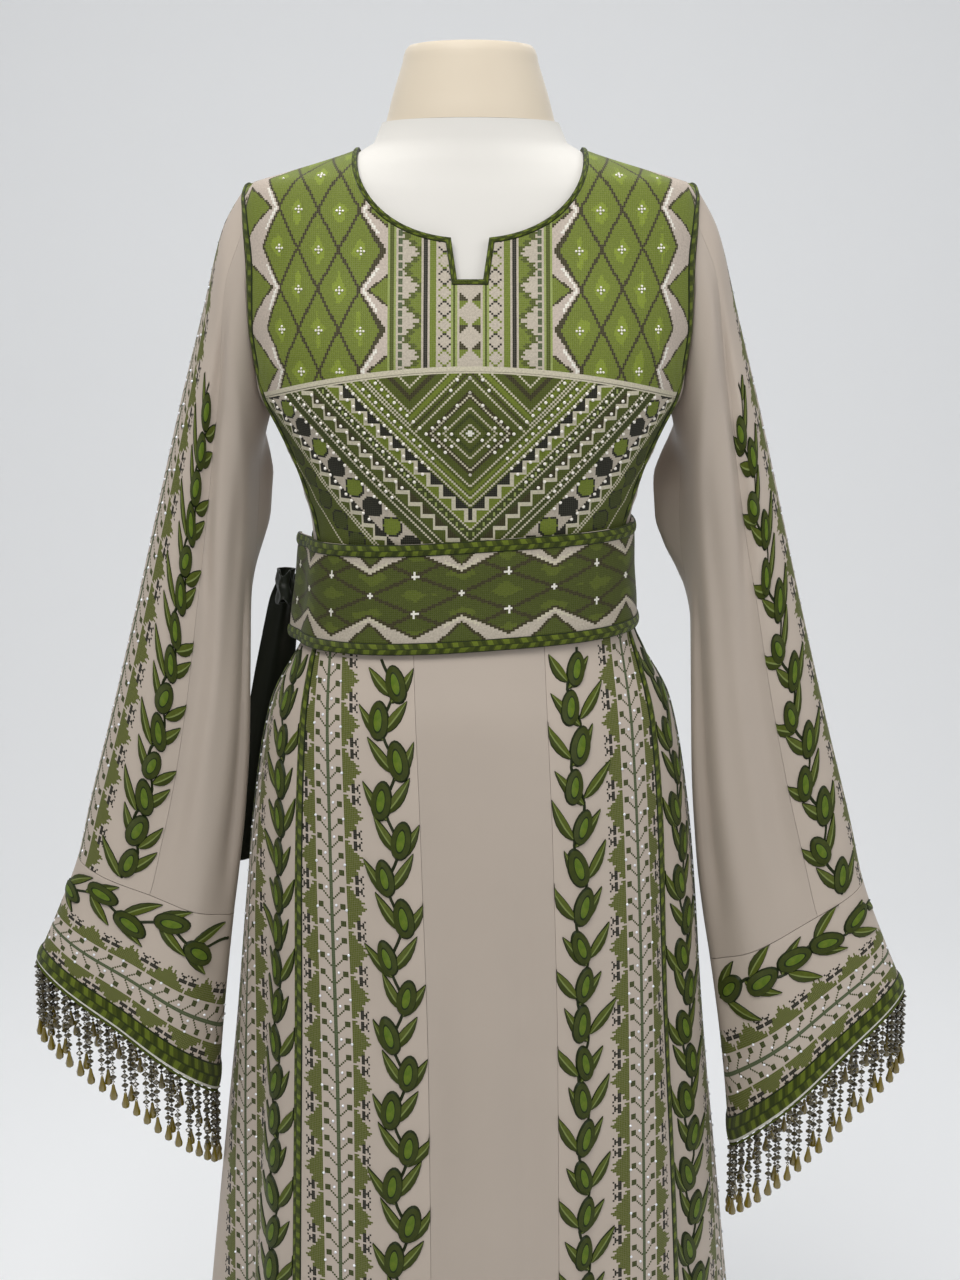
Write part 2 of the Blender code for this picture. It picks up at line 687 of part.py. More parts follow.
def sleeve_normal(s, turn, side):
    def surface(u, v):
        return sleeve(u, v, side)

    s = np.asarray(s, float) + 0 * turn
    point = surface(s, turn)
    normal = cross_normal(surface, np.clip(s, 1e-3, CUFF_TO - 1e-3), turn, 1e-3, 1e-3)
    middle = (surface(s, 0 * turn) + surface(s, 0 * turn + np.pi)) / 2
    flat = np.einsum("...i,...i->...", point - middle, normal)
    return np.where((flat < 0)[..., None], -normal, normal)


def sleeve_turns(s, side, front):
    """Turns from the outer line to the inner one and the arc length to each, at one place along the sleeve."""
    turn = np.linspace(0, np.pi, 361) * (1 if front else -1)
    point = sleeve(np.full(turn.shape, s), turn, side)
    step = np.linalg.norm(np.diff(point, axis=0), axis=1)
    return turn, np.concatenate([[0], np.cumsum(step)])


def mirrored(points, side):
    return points * np.array([side, 1, 1])


def sleeve_wall(name, side, along, turns, thick, rise=0.0, closed=False):
    s = np.asarray(along, float)[:, None] + 0 * turns
    point = sleeve(s, turns, side)
    normal = sleeve_normal(s, turns, side)
    outer = mirrored(point + normal * rise, side)
    grid_body(name, outer, mirrored(point - normal * thick, side), closed)


def band_edge(s, front):
    return float(table_curve(BAND, 1 if front else 2, s))


def turns_between(along, side, front, outer, inner, cells):
    """Turns of the columns across one half of the sleeve, between its outer line, the band's edge or the inner line."""
    rows = []
    for s in along:
        turn, arc = sleeve_turns(s, side, front)
        edge = band_edge(min(s, 1.0), front)
        first = GAP / 2 + (edge if outer == "band" else 0)
        last = (edge if inner == "band" else arc[-1]) - GAP / 2
        rows.append(np.interp(np.linspace(first, last, cells + 1), arc, turn))
    return np.array(rows)


def build_sleeve(side, label):
    along = np.array([0, 0.045, 0.09, 0.17, 0.28, 0.42, 0.57, 0.72, 0.86, 0.9995])
    front = turns_between(along, side, True, "band", "inner", 6)
    back = turns_between(along, side, False, "band", "inner", 5)
    sleeve_wall("sleeve_front_" + label, side, along, front, CLOTH)
    sleeve_wall("sleeve_back_" + label, side, along, back, CLOTH)
    outer = turns_between(along, side, True, "outer", "band", 3)
    under = turns_between(along, side, False, "outer", "band", 4)
    turns = np.concatenate([under[:, :0:-1], 0 * outer[:, :1], outer[:, 1:]], 1)
    sleeve_wall("sleeve_band_" + label, side, along, turns, CLOTH)
    along = np.array([1.0005, 1.06, 1.12, 1.18, 1.214, 1.25])
    for word, facing in (("front", True), ("back", False)):
        ends = turns_between(along, side, facing, "outer", "inner", 1)
        share = np.linspace(0, 1, 11)
        turns = ends[:, :1] + (ends[:, 1:] - ends[:, :1]) * share
        sleeve_wall("cuff_" + word + "_" + label, side, along, turns, CUFF_WALL)
    turns = np.linspace(0, 2 * np.pi, 21)[:-1] + np.zeros((2, 1))
    s = along[-2:, None] + 0 * turns
    point = sleeve(s, turns, side)
    normal = sleeve_normal(s, turns, side)
    outer = mirrored(point + normal * (GAP + 0.0016), side)
    grid_body("cuff_braid_" + label, outer, mirrored(point + normal * GAP, side), closed=True)
    build_fringe(side, label)


def hem_ring(side, count):
    """Evenly spaced points of the cuff's hem, with its outward normals and the way the cloth runs down."""
    turn = np.linspace(0, 2 * np.pi, 1441)
    at = np.full(turn.shape, CUFF_TO)
    point = sleeve(at, turn, side)
    step = np.linalg.norm(np.diff(point, axis=0), axis=1)
    arc = np.concatenate([[0], np.cumsum(step)])
    turns = np.interp(np.arange(count) * arc[-1] / count, arc, turn)
    at = np.full(turns.shape, CUFF_TO)
    down = sleeve(at, turns, side) - sleeve(at - 0.01, turns, side)
    down /= np.linalg.norm(down, axis=1, keepdims=True)
    return sleeve(at, turns, side), sleeve_normal(at, turns, side), down


def build_fringe(side, label):
    """Bead strands that hang from a strip under the cuff's hem. Each grows from its own place on the strip."""
    spot, normal, down = hem_ring(side, 4 * STRANDS)
    points, faces = [], []

    def add(p):
        points.append(np.array(p) * np.array([side, 1, 1]))
        return len(points) - 1

    def quad(a, b, c, d):
        faces.append((a, b, c))
        faces.append((a, c, d))

    posts = []
    for k in range(STRANDS):
        for i in (4 * k, (4 * k + 1) % (4 * STRANDS)):
            head = spot[i] + down[i] * 0.0008
            foot = spot[i] + down[i] * 0.0026
            inside = -normal[i] * CUFF_WALL
            posts.append((add(head), add(head + inside), add(foot), add(foot + inside)))
    for i, post in enumerate(posts):
        after = posts[(i + 1) % len(posts)]
        quad(post[0], after[0], after[2], post[2])
        quad(post[1], post[3], after[3], after[1])
        quad(post[0], post[1], after[1], after[0])
        root = (post[2], after[2], after[3], post[3])
        if i % 2:
            quad(*root)
            continue
        corners = np.array([points[j] * np.array([side, 1, 1]) for j in root])
        middle = corners.mean(0)
        away = corners - middle
        away[:, 2] = 0
        away /= np.linalg.norm(away, axis=1, keepdims=True)
        centre = middle - np.array([0, 0, 0.9 * STRAND_DROP])
        ring = tuple(add(centre + away[j] * STRAND_HALF) for j in range(4))
        for j in range(4):
            e = (j + 1) % 4
            quad(root[j], root[e], ring[e], ring[j])
        tip = add(middle - np.array([0, 0, STRAND_DROP]))
        for j in range(4):
            faces.append((ring[j], ring[(j + 1) % 4], tip))
    make_body("cuff_fringe_" + label, points, faces)


def revolved(name, profile, sides):
    """A round solid about the Z axis from (radius, height) pairs, closed at both ends."""
    turn = np.linspace(0, 2 * np.pi, sides, endpoint=False)
    points = [(r * math.cos(t), r * math.sin(t), z) for r, z in profile for t in turn]
    faces = []
    for r in range(len(profile) - 1):
        for c in range(sides):
            e = (c + 1) % sides
            a, b = r * sides + c, r * sides + e
            p, q = a + sides, b + sides
            faces += [(a, b, q), (a, q, p)]
    for base, height in ((0, profile[0][1]), ((len(profile) - 1) * sides, profile[-1][1])):
        points.append((0, 0, height))
        hub = len(points) - 1
        for c in range(sides):
            e = (c + 1) % sides
            faces.append((base + e, base + c, hub) if base == 0 else (base + c, base + e, hub))
    make_body(name, points, faces)


def ringed_solid(name, rings):
    """A closed solid through rings of the same number of points, with a flat fan at each end."""
    count = len(rings[0])
    points = [p for ring in rings for p in ring]
    faces = []
    for r in range(len(rings) - 1):
        for c in range(count):
            e = (c + 1) % count
            a, b = r * count + c, r * count + e
            p, q = a + count, b + count
            faces += [(a, b, q), (a, q, p)]
    for base, ring in ((0, rings[0]), ((len(rings) - 1) * count, rings[-1])):
        points.append(np.mean(ring, axis=0))
        hub = len(points) - 1
        for c in range(count):
            e = (c + 1) % count
            faces.append((base + e, base + c, hub) if base == 0 else (base + c, base + e, hub))
    make_body(name, points, faces)


def form_ring(z, angle):
    """A ring of the dress form: the cloth's inside, less the ease."""
    z = z + 0 * angle
    ease = 0.0014 + 0.0017 * smooth(1.425, 1.405, z)
    ease = ease + 0.0006 * smooth(1.40, 1.33, z) * smooth(1.0, 1.1, z)
    return body(z, angle) - outward(body, z, angle) * (CLOTH + GAP + ease)[:, None]


def build_form():
    angle = np.radians(np.arange(0, 360, 18))
    heights = [0.802, 0.85, 0.9, 0.95, 1.0, 1.06, 1.11, 1.15, 1.18, 1.205, 1.225, 1.25, 1.28]
    heights += [1.31, 1.34, 1.365, 1.385, 1.397, 1.404, 1.412, 1.421, 1.430, 1.438, 1.447]
    rings = [form_ring(z, angle) for z in heights]
    floor = rings[0] * np.array([0.93, 0.93, 1])
    floor[:, 2] = 0.792
    rings.insert(0, floor)
    rings[1][:, 2] = 0.802
    top = rings[-1].copy()
    top[:, 2] = 1.4520
    rings[-1] = top
    ringed_solid("form_torso", rings)
    heights = [1.455, 1.475, 1.490, 1.502]
    rings = [form_ring(z, angle) for z in heights]
    rings[0][:, 2] = 1.4523
    edge = rings[-1] * np.array([0.955, 0.955, 1])
    edge[:, 2] = 1.5110
    rings.append(edge)
    flat = rings[-1] * np.array([0.88, 0.88, 1])
    flat[:, 2] = 1.5150
    rings.append(flat)
    ringed_solid("form_neck_cap", rings)
    revolved("stand_base", [(0.150, 0), (0.150, 0.006), (0.143, 0.012), (0.030, 0.0145)], 32)
    revolved("stand_post", [(0.0125, 0.0148), (0.0125, 0.7917)], 16)


start_empty()
build_form()
build_yoke()
build_chest()
build_back()
build_bodice_sides()
build_bodice_pipings()
build_neck_binding()
build_skirt()
build_belt()
build_tie()
build_sleeve(-1, "left")
build_sleeve(1, "right")
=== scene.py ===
"""Looks of an embroidered robe with bell sleeves and a sash on a limbless dress form.

Metres, +Z up, the front faces -Y. Left and right are as seen from the front.
Each cloth piece is a thin shell over its solid. Stitched patterns are drawn by its material from the
place on the cloth in metres. Vines, pipings, beads and pearls are meshes laid on the shells.
"""

import math

import bpy
import numpy as np
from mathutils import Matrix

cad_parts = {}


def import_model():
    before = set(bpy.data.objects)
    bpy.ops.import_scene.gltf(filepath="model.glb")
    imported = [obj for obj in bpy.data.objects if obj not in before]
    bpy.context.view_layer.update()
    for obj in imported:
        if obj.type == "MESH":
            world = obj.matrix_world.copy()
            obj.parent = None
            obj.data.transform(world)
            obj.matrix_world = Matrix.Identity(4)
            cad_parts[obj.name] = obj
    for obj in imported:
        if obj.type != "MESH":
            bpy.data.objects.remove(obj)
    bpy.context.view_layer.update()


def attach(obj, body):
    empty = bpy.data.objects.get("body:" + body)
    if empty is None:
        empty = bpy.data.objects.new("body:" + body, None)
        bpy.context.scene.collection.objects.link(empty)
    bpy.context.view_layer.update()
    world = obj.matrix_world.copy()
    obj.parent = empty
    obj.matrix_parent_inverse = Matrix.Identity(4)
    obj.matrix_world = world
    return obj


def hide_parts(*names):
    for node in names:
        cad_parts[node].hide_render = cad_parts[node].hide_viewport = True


# The same driving sizes as the solids.
GAP = 0.0003  # between neighbouring pieces
CLOTH = 0.0015  # wall of the cloth
CUFF_WALL = 0.0020
BELT_WALL = 0.0024
TRIM_RISE = 0.0010  # how far a piping stands above the cloth beside it
PIPING = 0.0085  # width of a piping
BINDING = 0.0040  # width of the neck binding
WAIST_Z = 1.0640  # seam between bodice and skirt
HEM_Z = 0.0220
CHEST_SEAM_Z = 1.2495
CHEST_SEAM_DROP = 0.0235
ARMHOLE_Z = 1.3050
ARMHOLE_HALF = 0.0955
ARMHOLE_DEPTH = 0.0500
PRINCESS_DEPTH = 0.0480
PRINCESS_TOP = 1.2780  # where the side edge turns from the princess seam into the armhole
NECK_Z = 1.4300
NECK_HALF = 0.0940
NECK_SCOOP = 0.0755
NECK_BACK_SCOOP = 0.0120
NECK_POWER = 2.2
SLIT_TOP_HALF = 0.0155
SLIT_FOOT_HALF = 0.0105
SLIT_Z = 1.3220
CHEST_CORNER = 1.2245  # height of the chest seam at the princess seam
YOKE_FEET = (0, 0.0148, 0.0215, 0.1815)  # x at the chest seam of the columns from the slit, and of the last
SHOULDER_COLUMNS = np.linspace(0.104, 0.1795, 9)  # x of the columns from the shoulder
SHOULDER_X = 0.186  # where the bodice's side edge meets the shoulder
BELT_Z = 1.0645
BELT_HALF_HEIGHT = 0.0460
BELT_TILT = 0.0520  # rise of the belt per metre to the right
BELT_TRIM = 0.0100
CENTRE_HALF = 0.0550  # half the plain centre panel
CUFF_TO = 1.25  # s of the cuff's hem
STRANDS = 40  # bead strands on the outside of a cuff
SIDES = ((-1, "left"), (1, "right"))

# Height, half width, front depth, back depth, squareness.
BODY = (
    (0.800, 0.152, 0.106, 0.110, 2.1),
    (0.850, 0.160, 0.112, 0.120, 2.1),
    (0.900, 0.160, 0.113, 0.119, 2.1),
    (0.950, 0.154, 0.111, 0.110, 2.1),
    (1.020, 0.1405, 0.107, 0.096, 2.3),
    (1.064, 0.1365, 0.105, 0.090, 2.5),
    (1.110, 0.1380, 0.108, 0.091, 2.7),
    (1.160, 0.150, 0.118, 0.096, 2.7),
    (1.200, 0.168, 0.127, 0.102, 2.6),
    (1.225, 0.180, 0.131, 0.105, 2.6),
    (1.250, 0.186, 0.129, 0.107, 2.6),
    (1.290, 0.1925, 0.117, 0.107, 2.7),
    (1.330, 0.1955, 0.101, 0.104, 2.8),
    (1.360, 0.1965, 0.091, 0.100, 2.8),
    (1.385, 0.1955, 0.083, 0.096, 2.6),
    (1.400, 0.1900, 0.078, 0.092, 2.4),
    (1.410, 0.161, 0.074, 0.088, 2.2),
    (1.420, 0.127, 0.070, 0.083, 2.1),
    (1.430, 0.098, 0.066, 0.078, 2.0),
    (1.440, 0.082, 0.0635, 0.0755, 2.0),
    (1.455, 0.0745, 0.061, 0.073, 2.0),
    (1.475, 0.0688, 0.057, 0.069, 2.0),
    (1.498, 0.0615, 0.053, 0.065, 2.0),
    (1.515, 0.0560, 0.050, 0.062, 2.0),
)
SKIRT = (
    (0.022, 0.278, 0.238, 0.256, 2.2),
    (0.200, 0.260, 0.219, 0.236, 2.2),
    (0.385, 0.242, 0.199, 0.213, 2.2),
    (0.560, 0.225, 0.182, 0.192, 2.2),
    (0.668, 0.214, 0.171, 0.178, 2.2),
    (0.780, 0.204, 0.160, 0.163, 2.2),
    (0.859, 0.195, 0.151, 0.150, 2.2),
    (0.952, 0.178, 0.136, 0.130, 2.2),
    (1.000, 0.1540, 0.119, 0.107, 2.3),
    (1.020, 0.1440, 0.112, 0.098, 2.4),
    (1.064, 0.1365, 0.105, 0.090, 2.5),
)
# Along the sleeve: outer point, inner point (x, z), half depth, middle in y.
SLEEVE = (
    (0.00, 0.1925, 1.4005, 0.1720, 1.2095, 0.050, 0.000),
    (0.09, 0.2100, 1.3670, 0.1870, 1.1600, 0.050, -0.002),
    (0.22, 0.2290, 1.2960, 0.1910, 1.1000, 0.042, -0.006),
    (0.36, 0.2490, 1.2195, 0.1935, 1.0400, 0.038, -0.011),
    (0.52, 0.2705, 1.1300, 0.1950, 0.9750, 0.036, -0.016),
    (0.67, 0.2910, 1.0430, 0.1965, 0.9100, 0.036, -0.021),
    (0.82, 0.3140, 0.9500, 0.2010, 0.8430, 0.037, -0.026),
    (0.93, 0.3380, 0.8590, 0.2080, 0.7820, 0.039, -0.030),
    (1.00, 0.3500, 0.8080, 0.2130, 0.7440, 0.041, -0.033),
    (1.12, 0.3680, 0.7600, 0.2220, 0.6630, 0.044, -0.038),
    (1.25, 0.3880, 0.7130, 0.2300, 0.5750, 0.047, -0.043),
)
# Along the sleeve, arc of the band in front of the outer line on the left and on the right, and its width.
BAND = (
    (0.00, 0.052, 0.050, 0.122),
    (0.09, 0.070, 0.060, 0.130),
    (0.22, 0.094, 0.077, 0.144),
    (0.36, 0.099, 0.081, 0.150),
    (0.60, 0.096, 0.076, 0.150),
    (1.00, 0.093, 0.070, 0.150),
)
# Height, how far the front panels sit round to the right.
TURN = (
    (0.022, 0.021),
    (0.385, 0.021),
    (0.668, 0.019),
    (0.859, 0.014),
    (1.000, 0.008),
    (1.064, 0.006),
)
# Height, arc from the front centre panel's seam to the front piping, width of the side gore.
GORES = (
    (0.022, 0.128, 0.200),
    (0.385, 0.120, 0.160),
    (0.700, 0.114, 0.125),
    (0.859, 0.110, 0.098),
    (1.064, 0.098, 0.066),
)
BOW_AT = (-0.1670, 0.0220, 1.0520)
# The tie's tail from the bow down: x, y, z of its middle, half width, turn of its width from the x axis.
TAIL = (
    (-0.1660, 0.0400, 1.060, 0.009, 0.55),
    (-0.1700, 0.0440, 1.040, 0.013, 0.50),
    (-0.1740, 0.0480, 1.010, 0.016, 0.40),
    (-0.1810, 0.0530, 0.970, 0.018, 0.30),
    (-0.1900, 0.0570, 0.920, 0.019, 0.25),
    (-0.2000, 0.0600, 0.870, 0.019, 0.20),
    (-0.2070, 0.0600, 0.820, 0.019, 0.20),
    (-0.2110, 0.0600, 0.785, 0.019, 0.20),
)

# Stitching, in metres on the cloth.
STITCH = 0.0016  # pitch of the cross stitch on the bands
DENSE = 0.0017  # pitch on the yoke, the chest and the belt
FEATHER_MID = 0.0808  # from a vine's seam to the middle of the band beside it
CUFF_DEEP = 0.1280  # the cuff's pattern from its seam to its hem, before the flare stretches it
VINE_MID = 0.0238  # from the seam to the middle of a vine, how far it sways, and its wave's length
VINE_SWAY = 0.0052
VINE_WAVE = 0.0660
TREE_FROM = 9  # stitches from the band's middle to its trees
LATTICE_V = 1.3490  # a row of whole diamonds on the yoke
LATTICE_FROM = 52.0  # stitches from the centre to the innermost column of them
LATTICE_X = 10.4  # half a diamond's width and height, in stitches
LATTICE_Y = 19.7
LATTICE_TO = LATTICE_FROM + 4 * LATTICE_X
LATTICE_EDGE = 13  # depth of its zigzag edge, in stitches
SEAM_V = (1.24955, -0.86180, 5.2358)  # the chest seam on the cloth, by powers 0, 2 and 4 of u
BODICE_V = 1.2500  # the height at which v on the bodice is the height
CHEST_MID_V = 1.1990  # the chest's middle diamond
BELT_MID_U = -0.0080  # the middle diamond of the belt
BELT_MID_V = 0.0490
BELT_X = 22.6
BELT_Y = 9.4

# Skirt creases: angle at the top and at the foot in degrees, top, foot, half width in degrees, depth.
SKIRT_CREASES = (
    (-9, -13, 0.900, 0.022, 5.0, 0.0045),
    (4, 3, 0.820, 0.022, 6.0, -0.0030),
    (15, 17, 0.960, 0.100, 4.5, 0.0035),
    (36, 31, 0.880, 0.022, 5.5, 0.0035),
    (-31, -36, 0.930, 0.022, 6.0, 0.0035),
    (62, 58, 0.980, 0.022, 5.0, 0.0070),
    (-66, -60, 0.970, 0.022, 5.0, 0.0070),
    (84, 88, 0.900, 0.022, 5.5, 0.0060),
    (-92, -86, 0.940, 0.022, 6.0, 0.0060),
    (118, 112, 0.990, 0.022, 6.0, 0.0075),
    (-121, -117, 0.960, 0.022, 6.0, 0.0070),
    (146, 150, 0.930, 0.022, 5.5, 0.0070),
    (-150, -146, 0.980, 0.022, 6.0, 0.0065),
    (176, 171, 0.900, 0.022, 6.5, 0.0070),
)
# Bodice ridges: height, its change per radian, the angle it is for, half width, rise, where they fade in.
BODICE_RIDGES = (
    (1.262, -0.09, 1.0, 0.008, 0.0016, 0.75, 1.15),
    (1.162, 0.05, 1.1, 0.006, 0.0013, 0.70, 1.00),
    (1.139, 0.00, 1.0, 0.005, 0.0010, 0.50, 0.90),
)
# Sleeve creases: turn at the top and at the foot, from s, to s, half width in turn, depth.
SLEEVE_CREASES = (
    (1.05, 1.55, 0.03, 0.55, 0.16, 0.0075),
    (2.15, 2.05, 0.12, 0.90, 0.22, 0.0045),
    (2.65, 2.55, 0.25, 1.00, 0.16, 0.0050),
    (1.72, 1.62, 0.45, 1.10, 0.14, 0.0030),
    (3.55, 3.60, 0.20, 0.95, 0.20, 0.0060),
    (4.20, 4.05, 0.05, 0.80, 0.20, 0.0060),
    (4.75, 4.80, 0.35, 1.15, 0.18, 0.0050),
    (5.30, 5.20, 0.10, 0.60, 0.16, 0.0040),
)


# ---------------------------------------------------------------- shapes


def unit(vectors):
    return vectors / np.linalg.norm(vectors, axis=-1, keepdims=True)


def run_of(points):
    """Arc length from the first point of a line to each of its points."""
    return np.concatenate([[0], np.cumsum(np.linalg.norm(np.diff(points, axis=0), axis=1))])


def table_curve(rows, column, at):
    """A smooth curve through one column of a table, with no overshoot between rows."""
    x = np.array([row[0] for row in rows])
    y = np.array([row[column] for row in rows])
    step = np.diff(x)
    slope = np.diff(y) / step
    tangent = np.zeros(len(x))
    tangent[0] = slope[0]
    tangent[-1] = slope[-1]
    same = slope[1:] * slope[:-1] > 0
    both = slope[1:] + slope[:-1]
    tangent[1:-1] = np.where(same, 2 * slope[1:] * slope[:-1] / np.where(same, both, 1), 0)
    at = np.clip(np.asarray(at, float), x[0], x[-1])
    i = np.clip(np.searchsorted(x, at, side="right") - 1, 0, len(x) - 2)
    t = (at - x[i]) / step[i]
    rise = y[i] * (1 + 2 * t) * (1 - t) ** 2 + y[i + 1] * t * t * (3 - 2 * t)
    return rise + step[i] * (tangent[i] * t * (1 - t) ** 2 - tangent[i + 1] * t * t * (1 - t))


def smooth(low, high, at):
    t = np.clip((at - low) / (high - low), 0, 1)
    return t * t * (3 - 2 * t)


def ring_point(rows, z, angle):
    """A point at a height, at an angle from the front towards +X."""
    a, front, back, n = (table_curve(rows, column, z) for column in range(1, 5))
    s = np.abs(np.sin(angle)) / a
    c = np.abs(np.cos(angle)) / np.where(np.cos(angle) > 0, front, back)
    r = (s**n + c**n) ** (-1 / n)
    return np.stack([r * np.sin(angle), -r * np.cos(angle), z + 0 * r], -1)


def turned(angle):
    return np.arctan2(np.sin(angle), np.cos(angle))


def body(z, angle):
    return ring_point(BODY, z, angle)


def skirt(z, angle):
    """The skirt with its large folds, which open towards the hem and are shallow in front and behind."""
    fall = smooth(0.95, 0.15, z) ** 1.2
    away = smooth(0.55, 1.15, np.abs(turned(angle)))
    wave = 0.6 * np.cos(9 * angle + 0.5) + 0.4 * np.cos(13 * angle - 0.9)
    lean = 0.5 * np.cos(5 * angle + 2.0)
    grow = 1 + fall * (0.036 * away * wave + 0.007 * lean)
    return ring_point(SKIRT, z, angle) * np.stack([grow, grow, 1 + 0 * grow], -1)


def crease_depth(rows, along, across, whole_turn):
    """How deep the cloth lies at a place, from a table of creases."""
    depth = np.zeros(np.broadcast(along, across).shape)
    for top, foot, start, end, half, deep in rows:
        share = np.clip((along - start) / (end - start), 0, 1)
        middle = top + (foot - top) * share
        off = (across - middle + whole_turn / 2) % whole_turn - whole_turn / 2
        ends = smooth(start, start + 0.3 * (end - start), along)
        ends = ends * (1 - 0.4 * smooth(end - 0.2 * (end - start), end, along))
        depth = depth + deep * ends * np.exp(-((off / half) ** 2))
    return depth


def pushed(point, away):
    """Points moved away from the z axis."""
    return point + unit(point * np.array([1, 1, 0])) * away[..., None]


def skirt_cloth(z, angle):
    """The skirt with its small creases."""
    z = z + 0 * angle
    depth = crease_depth(SKIRT_CREASES, z, np.degrees(angle), 360.0)
    return pushed(skirt(z, angle), -depth * smooth(1.0, 0.90, z))


def body_cloth(z, angle):
    """The bodice with a few soft ridges beside the arms and above the belt."""
    a = np.abs(turned(angle))
    rise = 0 * a
    for height, slope, middle, half, high, first, last in BODICE_RIDGES:
        off = (z - height - slope * (a - middle)) / half
        rise = rise + high * np.exp(-(off**2)) * smooth(first, last, a)
    return pushed(body(z, angle), rise)


def cross_normal(surface, u, v, du, dv):
    along = surface(u + du, v) - surface(u - du, v)
    across = surface(u, v + dv) - surface(u, v - dv)
    return unit(np.cross(across, along))


def facing_out(point, normal):
    """Normals turned away from the z axis."""
    flat = point[..., 0] * normal[..., 0] + point[..., 1] * normal[..., 1]
    return np.where((flat < 0)[..., None], -normal, normal)


def outward(surface, z, angle):
    z = np.asarray(z, float) + 0 * np.asarray(angle, float)
    return facing_out(surface(z, angle), cross_normal(surface, z, angle, 1e-4, 1e-4))


def angle_at(rows, x, z, back=False):
    """The angle of the point of a ring with this x, in front or at the back."""
    a = table_curve(rows, 1, z)
    depth = table_curve(rows, 3 if back else 2, z)
    n = table_curve(rows, 4, z)
    y = depth * np.clip(1 - np.clip(np.abs(x) / a, 0, 1) ** n, 0, 1) ** (1 / n)
    return np.arctan2(x, -y if back else y)


def x_at_depth(y, z, back=False):
    a = table_curve(BODY, 1, z)
    depth = table_curve(BODY, 3 if back else 2, z)
    n = table_curve(BODY, 4, z)
    return a * (1 - np.clip(np.abs(y) / depth, 0, 1) ** n) ** (1 / n)


def ridge_height(x, off):
    """The height at which the shoulder is off metres away from its ridge in y, at this x."""
    low = np.full(np.shape(x), 1.398)
    high = np.full(np.shape(x), 1.436)
    for _ in range(40):
        z = (low + high) / 2
        a = table_curve(BODY, 1, z)
        n = table_curve(BODY, 4, z)
        y = 0.07 * np.clip(1 - np.clip(x / a, 0, 1) ** n, 0, 1) ** (1 / n)
        outside = (x >= a) | (y < off)
        high = np.where(outside, z, high)
        low = np.where(outside, low, z)
    return low


def edge_depth(z, extra):
    """How far in front of the middle the armhole and, lower down, the princess seam lies."""
    high = ARMHOLE_HALF + 0.3 * extra
    lift = np.clip(1 - ((z - ARMHOLE_Z) / high) ** 2, 0, 1)
    hole = (ARMHOLE_DEPTH + extra) * np.sqrt(lift)
    return np.where(z < PRINCESS_TOP, PRINCESS_DEPTH + extra, hole)


def edge_x(z, extra, back=False):
    return x_at_depth(edge_depth(z, extra), z, back)


def edge_heights(low, extra, count):
    """Heights of the rows along the armhole and princess seams, closer together near the shoulder."""
    tip = ARMHOLE_Z + ARMHOLE_HALF + 0.3 * extra - 0.0006
    share = np.linspace(0, 1, count)
    return low + (tip - low) * (1 - (1 - share) ** 1.35)


def chest_seam(x):
    return CHEST_SEAM_Z - CHEST_SEAM_DROP * (x / 0.17) ** 2


def belt_lift(x):
    return BELT_TILT * x


def under_belt(z, x, below):
    """1 where a piping may stand proud of the cloth and 0 under the belt."""
    way = -1 if below else 1
    edge = BELT_Z + way * BELT_HALF_HEIGHT + belt_lift(x)
    return smooth(edge + way * 0.002, edge + way * 0.008, z)


def shoulder_top(x, off=GAP / 2):
    return float(ridge_height(np.array(x), off))


RIDGE_X = np.linspace(0, 0.19, 1900)
RIDGE_Z = ridge_height(RIDGE_X, 1e-6)


def neck_stations(grow, scoop, slit):
    """Points (x, z) along half the neckline, moved out by grow, from the middle to the shoulder ridge."""
    power = 2 / NECK_POWER
    width = NECK_HALF + grow
    x, z = [0.0], [NECK_Z - scoop - grow]
    first = 20
    if slit:
        x += [SLIT_FOOT_HALF + grow, SLIT_TOP_HALF + grow]
        round_part = (1 - (x[-1] / width) ** NECK_POWER) ** (1 / NECK_POWER)
        z = [SLIT_Z - grow, SLIT_Z - grow, NECK_Z - (scoop + grow) * round_part]
        first = 13
    turns = np.radians(np.linspace(first, 87, 22))
    x += list(width * np.sin(turns) ** power)
    z += list(NECK_Z - (scoop + grow) * np.cos(turns) ** power)
    for off in (0.013, GAP / 2):
        x.append(width)
        z.append(shoulder_top(width, off))
    return x, z


def down_from_ridge(x, back):
    """Heights of a cut through the bodice at this x and the arc length to each from the shoulder ridge."""
    top = float(np.interp(x, RIDGE_X, RIDGE_Z))
    z = top - (top - WAIST_Z + 0.01) * (1 - np.cos(np.linspace(0, np.pi / 2, 300))) ** 1.4
    point = body(z, angle_at(BODY, x + 0 * z, z, back))
    return z, run_of(point[:, 1:])


def bent(x, z, extra, back):
    """Moves a column in with the side edge, which lies at SHOULDER_X on the shoulder."""
    return x + (edge_x(np.minimum(z, 1.39), extra, back) - SHOULDER_X) * (x / SHOULDER_X) ** 3


def fan(tops, feet, low, extra, edge_z, back, packed):
    """Columns (z, x) of half a bodice piece, which fan from the neck and shoulder to the lower edge."""
    side_z = edge_z[::-1]
    side_x = edge_x(side_z, extra, back)
    run = run_of(body(side_z, angle_at(BODY, side_x, side_z, back)))
    columns = []
    for (top_x, top_z), foot in zip(tops, feet):
        lean = (foot / SHOULDER_X) ** 2
        shares = np.linspace(0, 1, len(edge_z)) ** packed * (1 - lean) + run / run[-1] * lean
        z, arc = down_from_ridge(top_x, back)
        start = np.interp(-top_z, -z, arc)
        column = []
        for share in shares:
            x = top_x + (foot - top_x) * share
            z, arc = down_from_ridge(x, back)
            end = np.interp(-low(foot), -z, arc)
            height = float(np.interp(start + (end - start) * share, arc, z))
            if share in (0, 1):
                height = top_z if share == 0 else low(foot)
            column.append((height, float(bent(x, height, extra, back)) if share else x))
        columns.append((np.array([c[0] for c in column]), np.array([c[1] for c in column])))
    return [*columns, (side_z, side_x)]


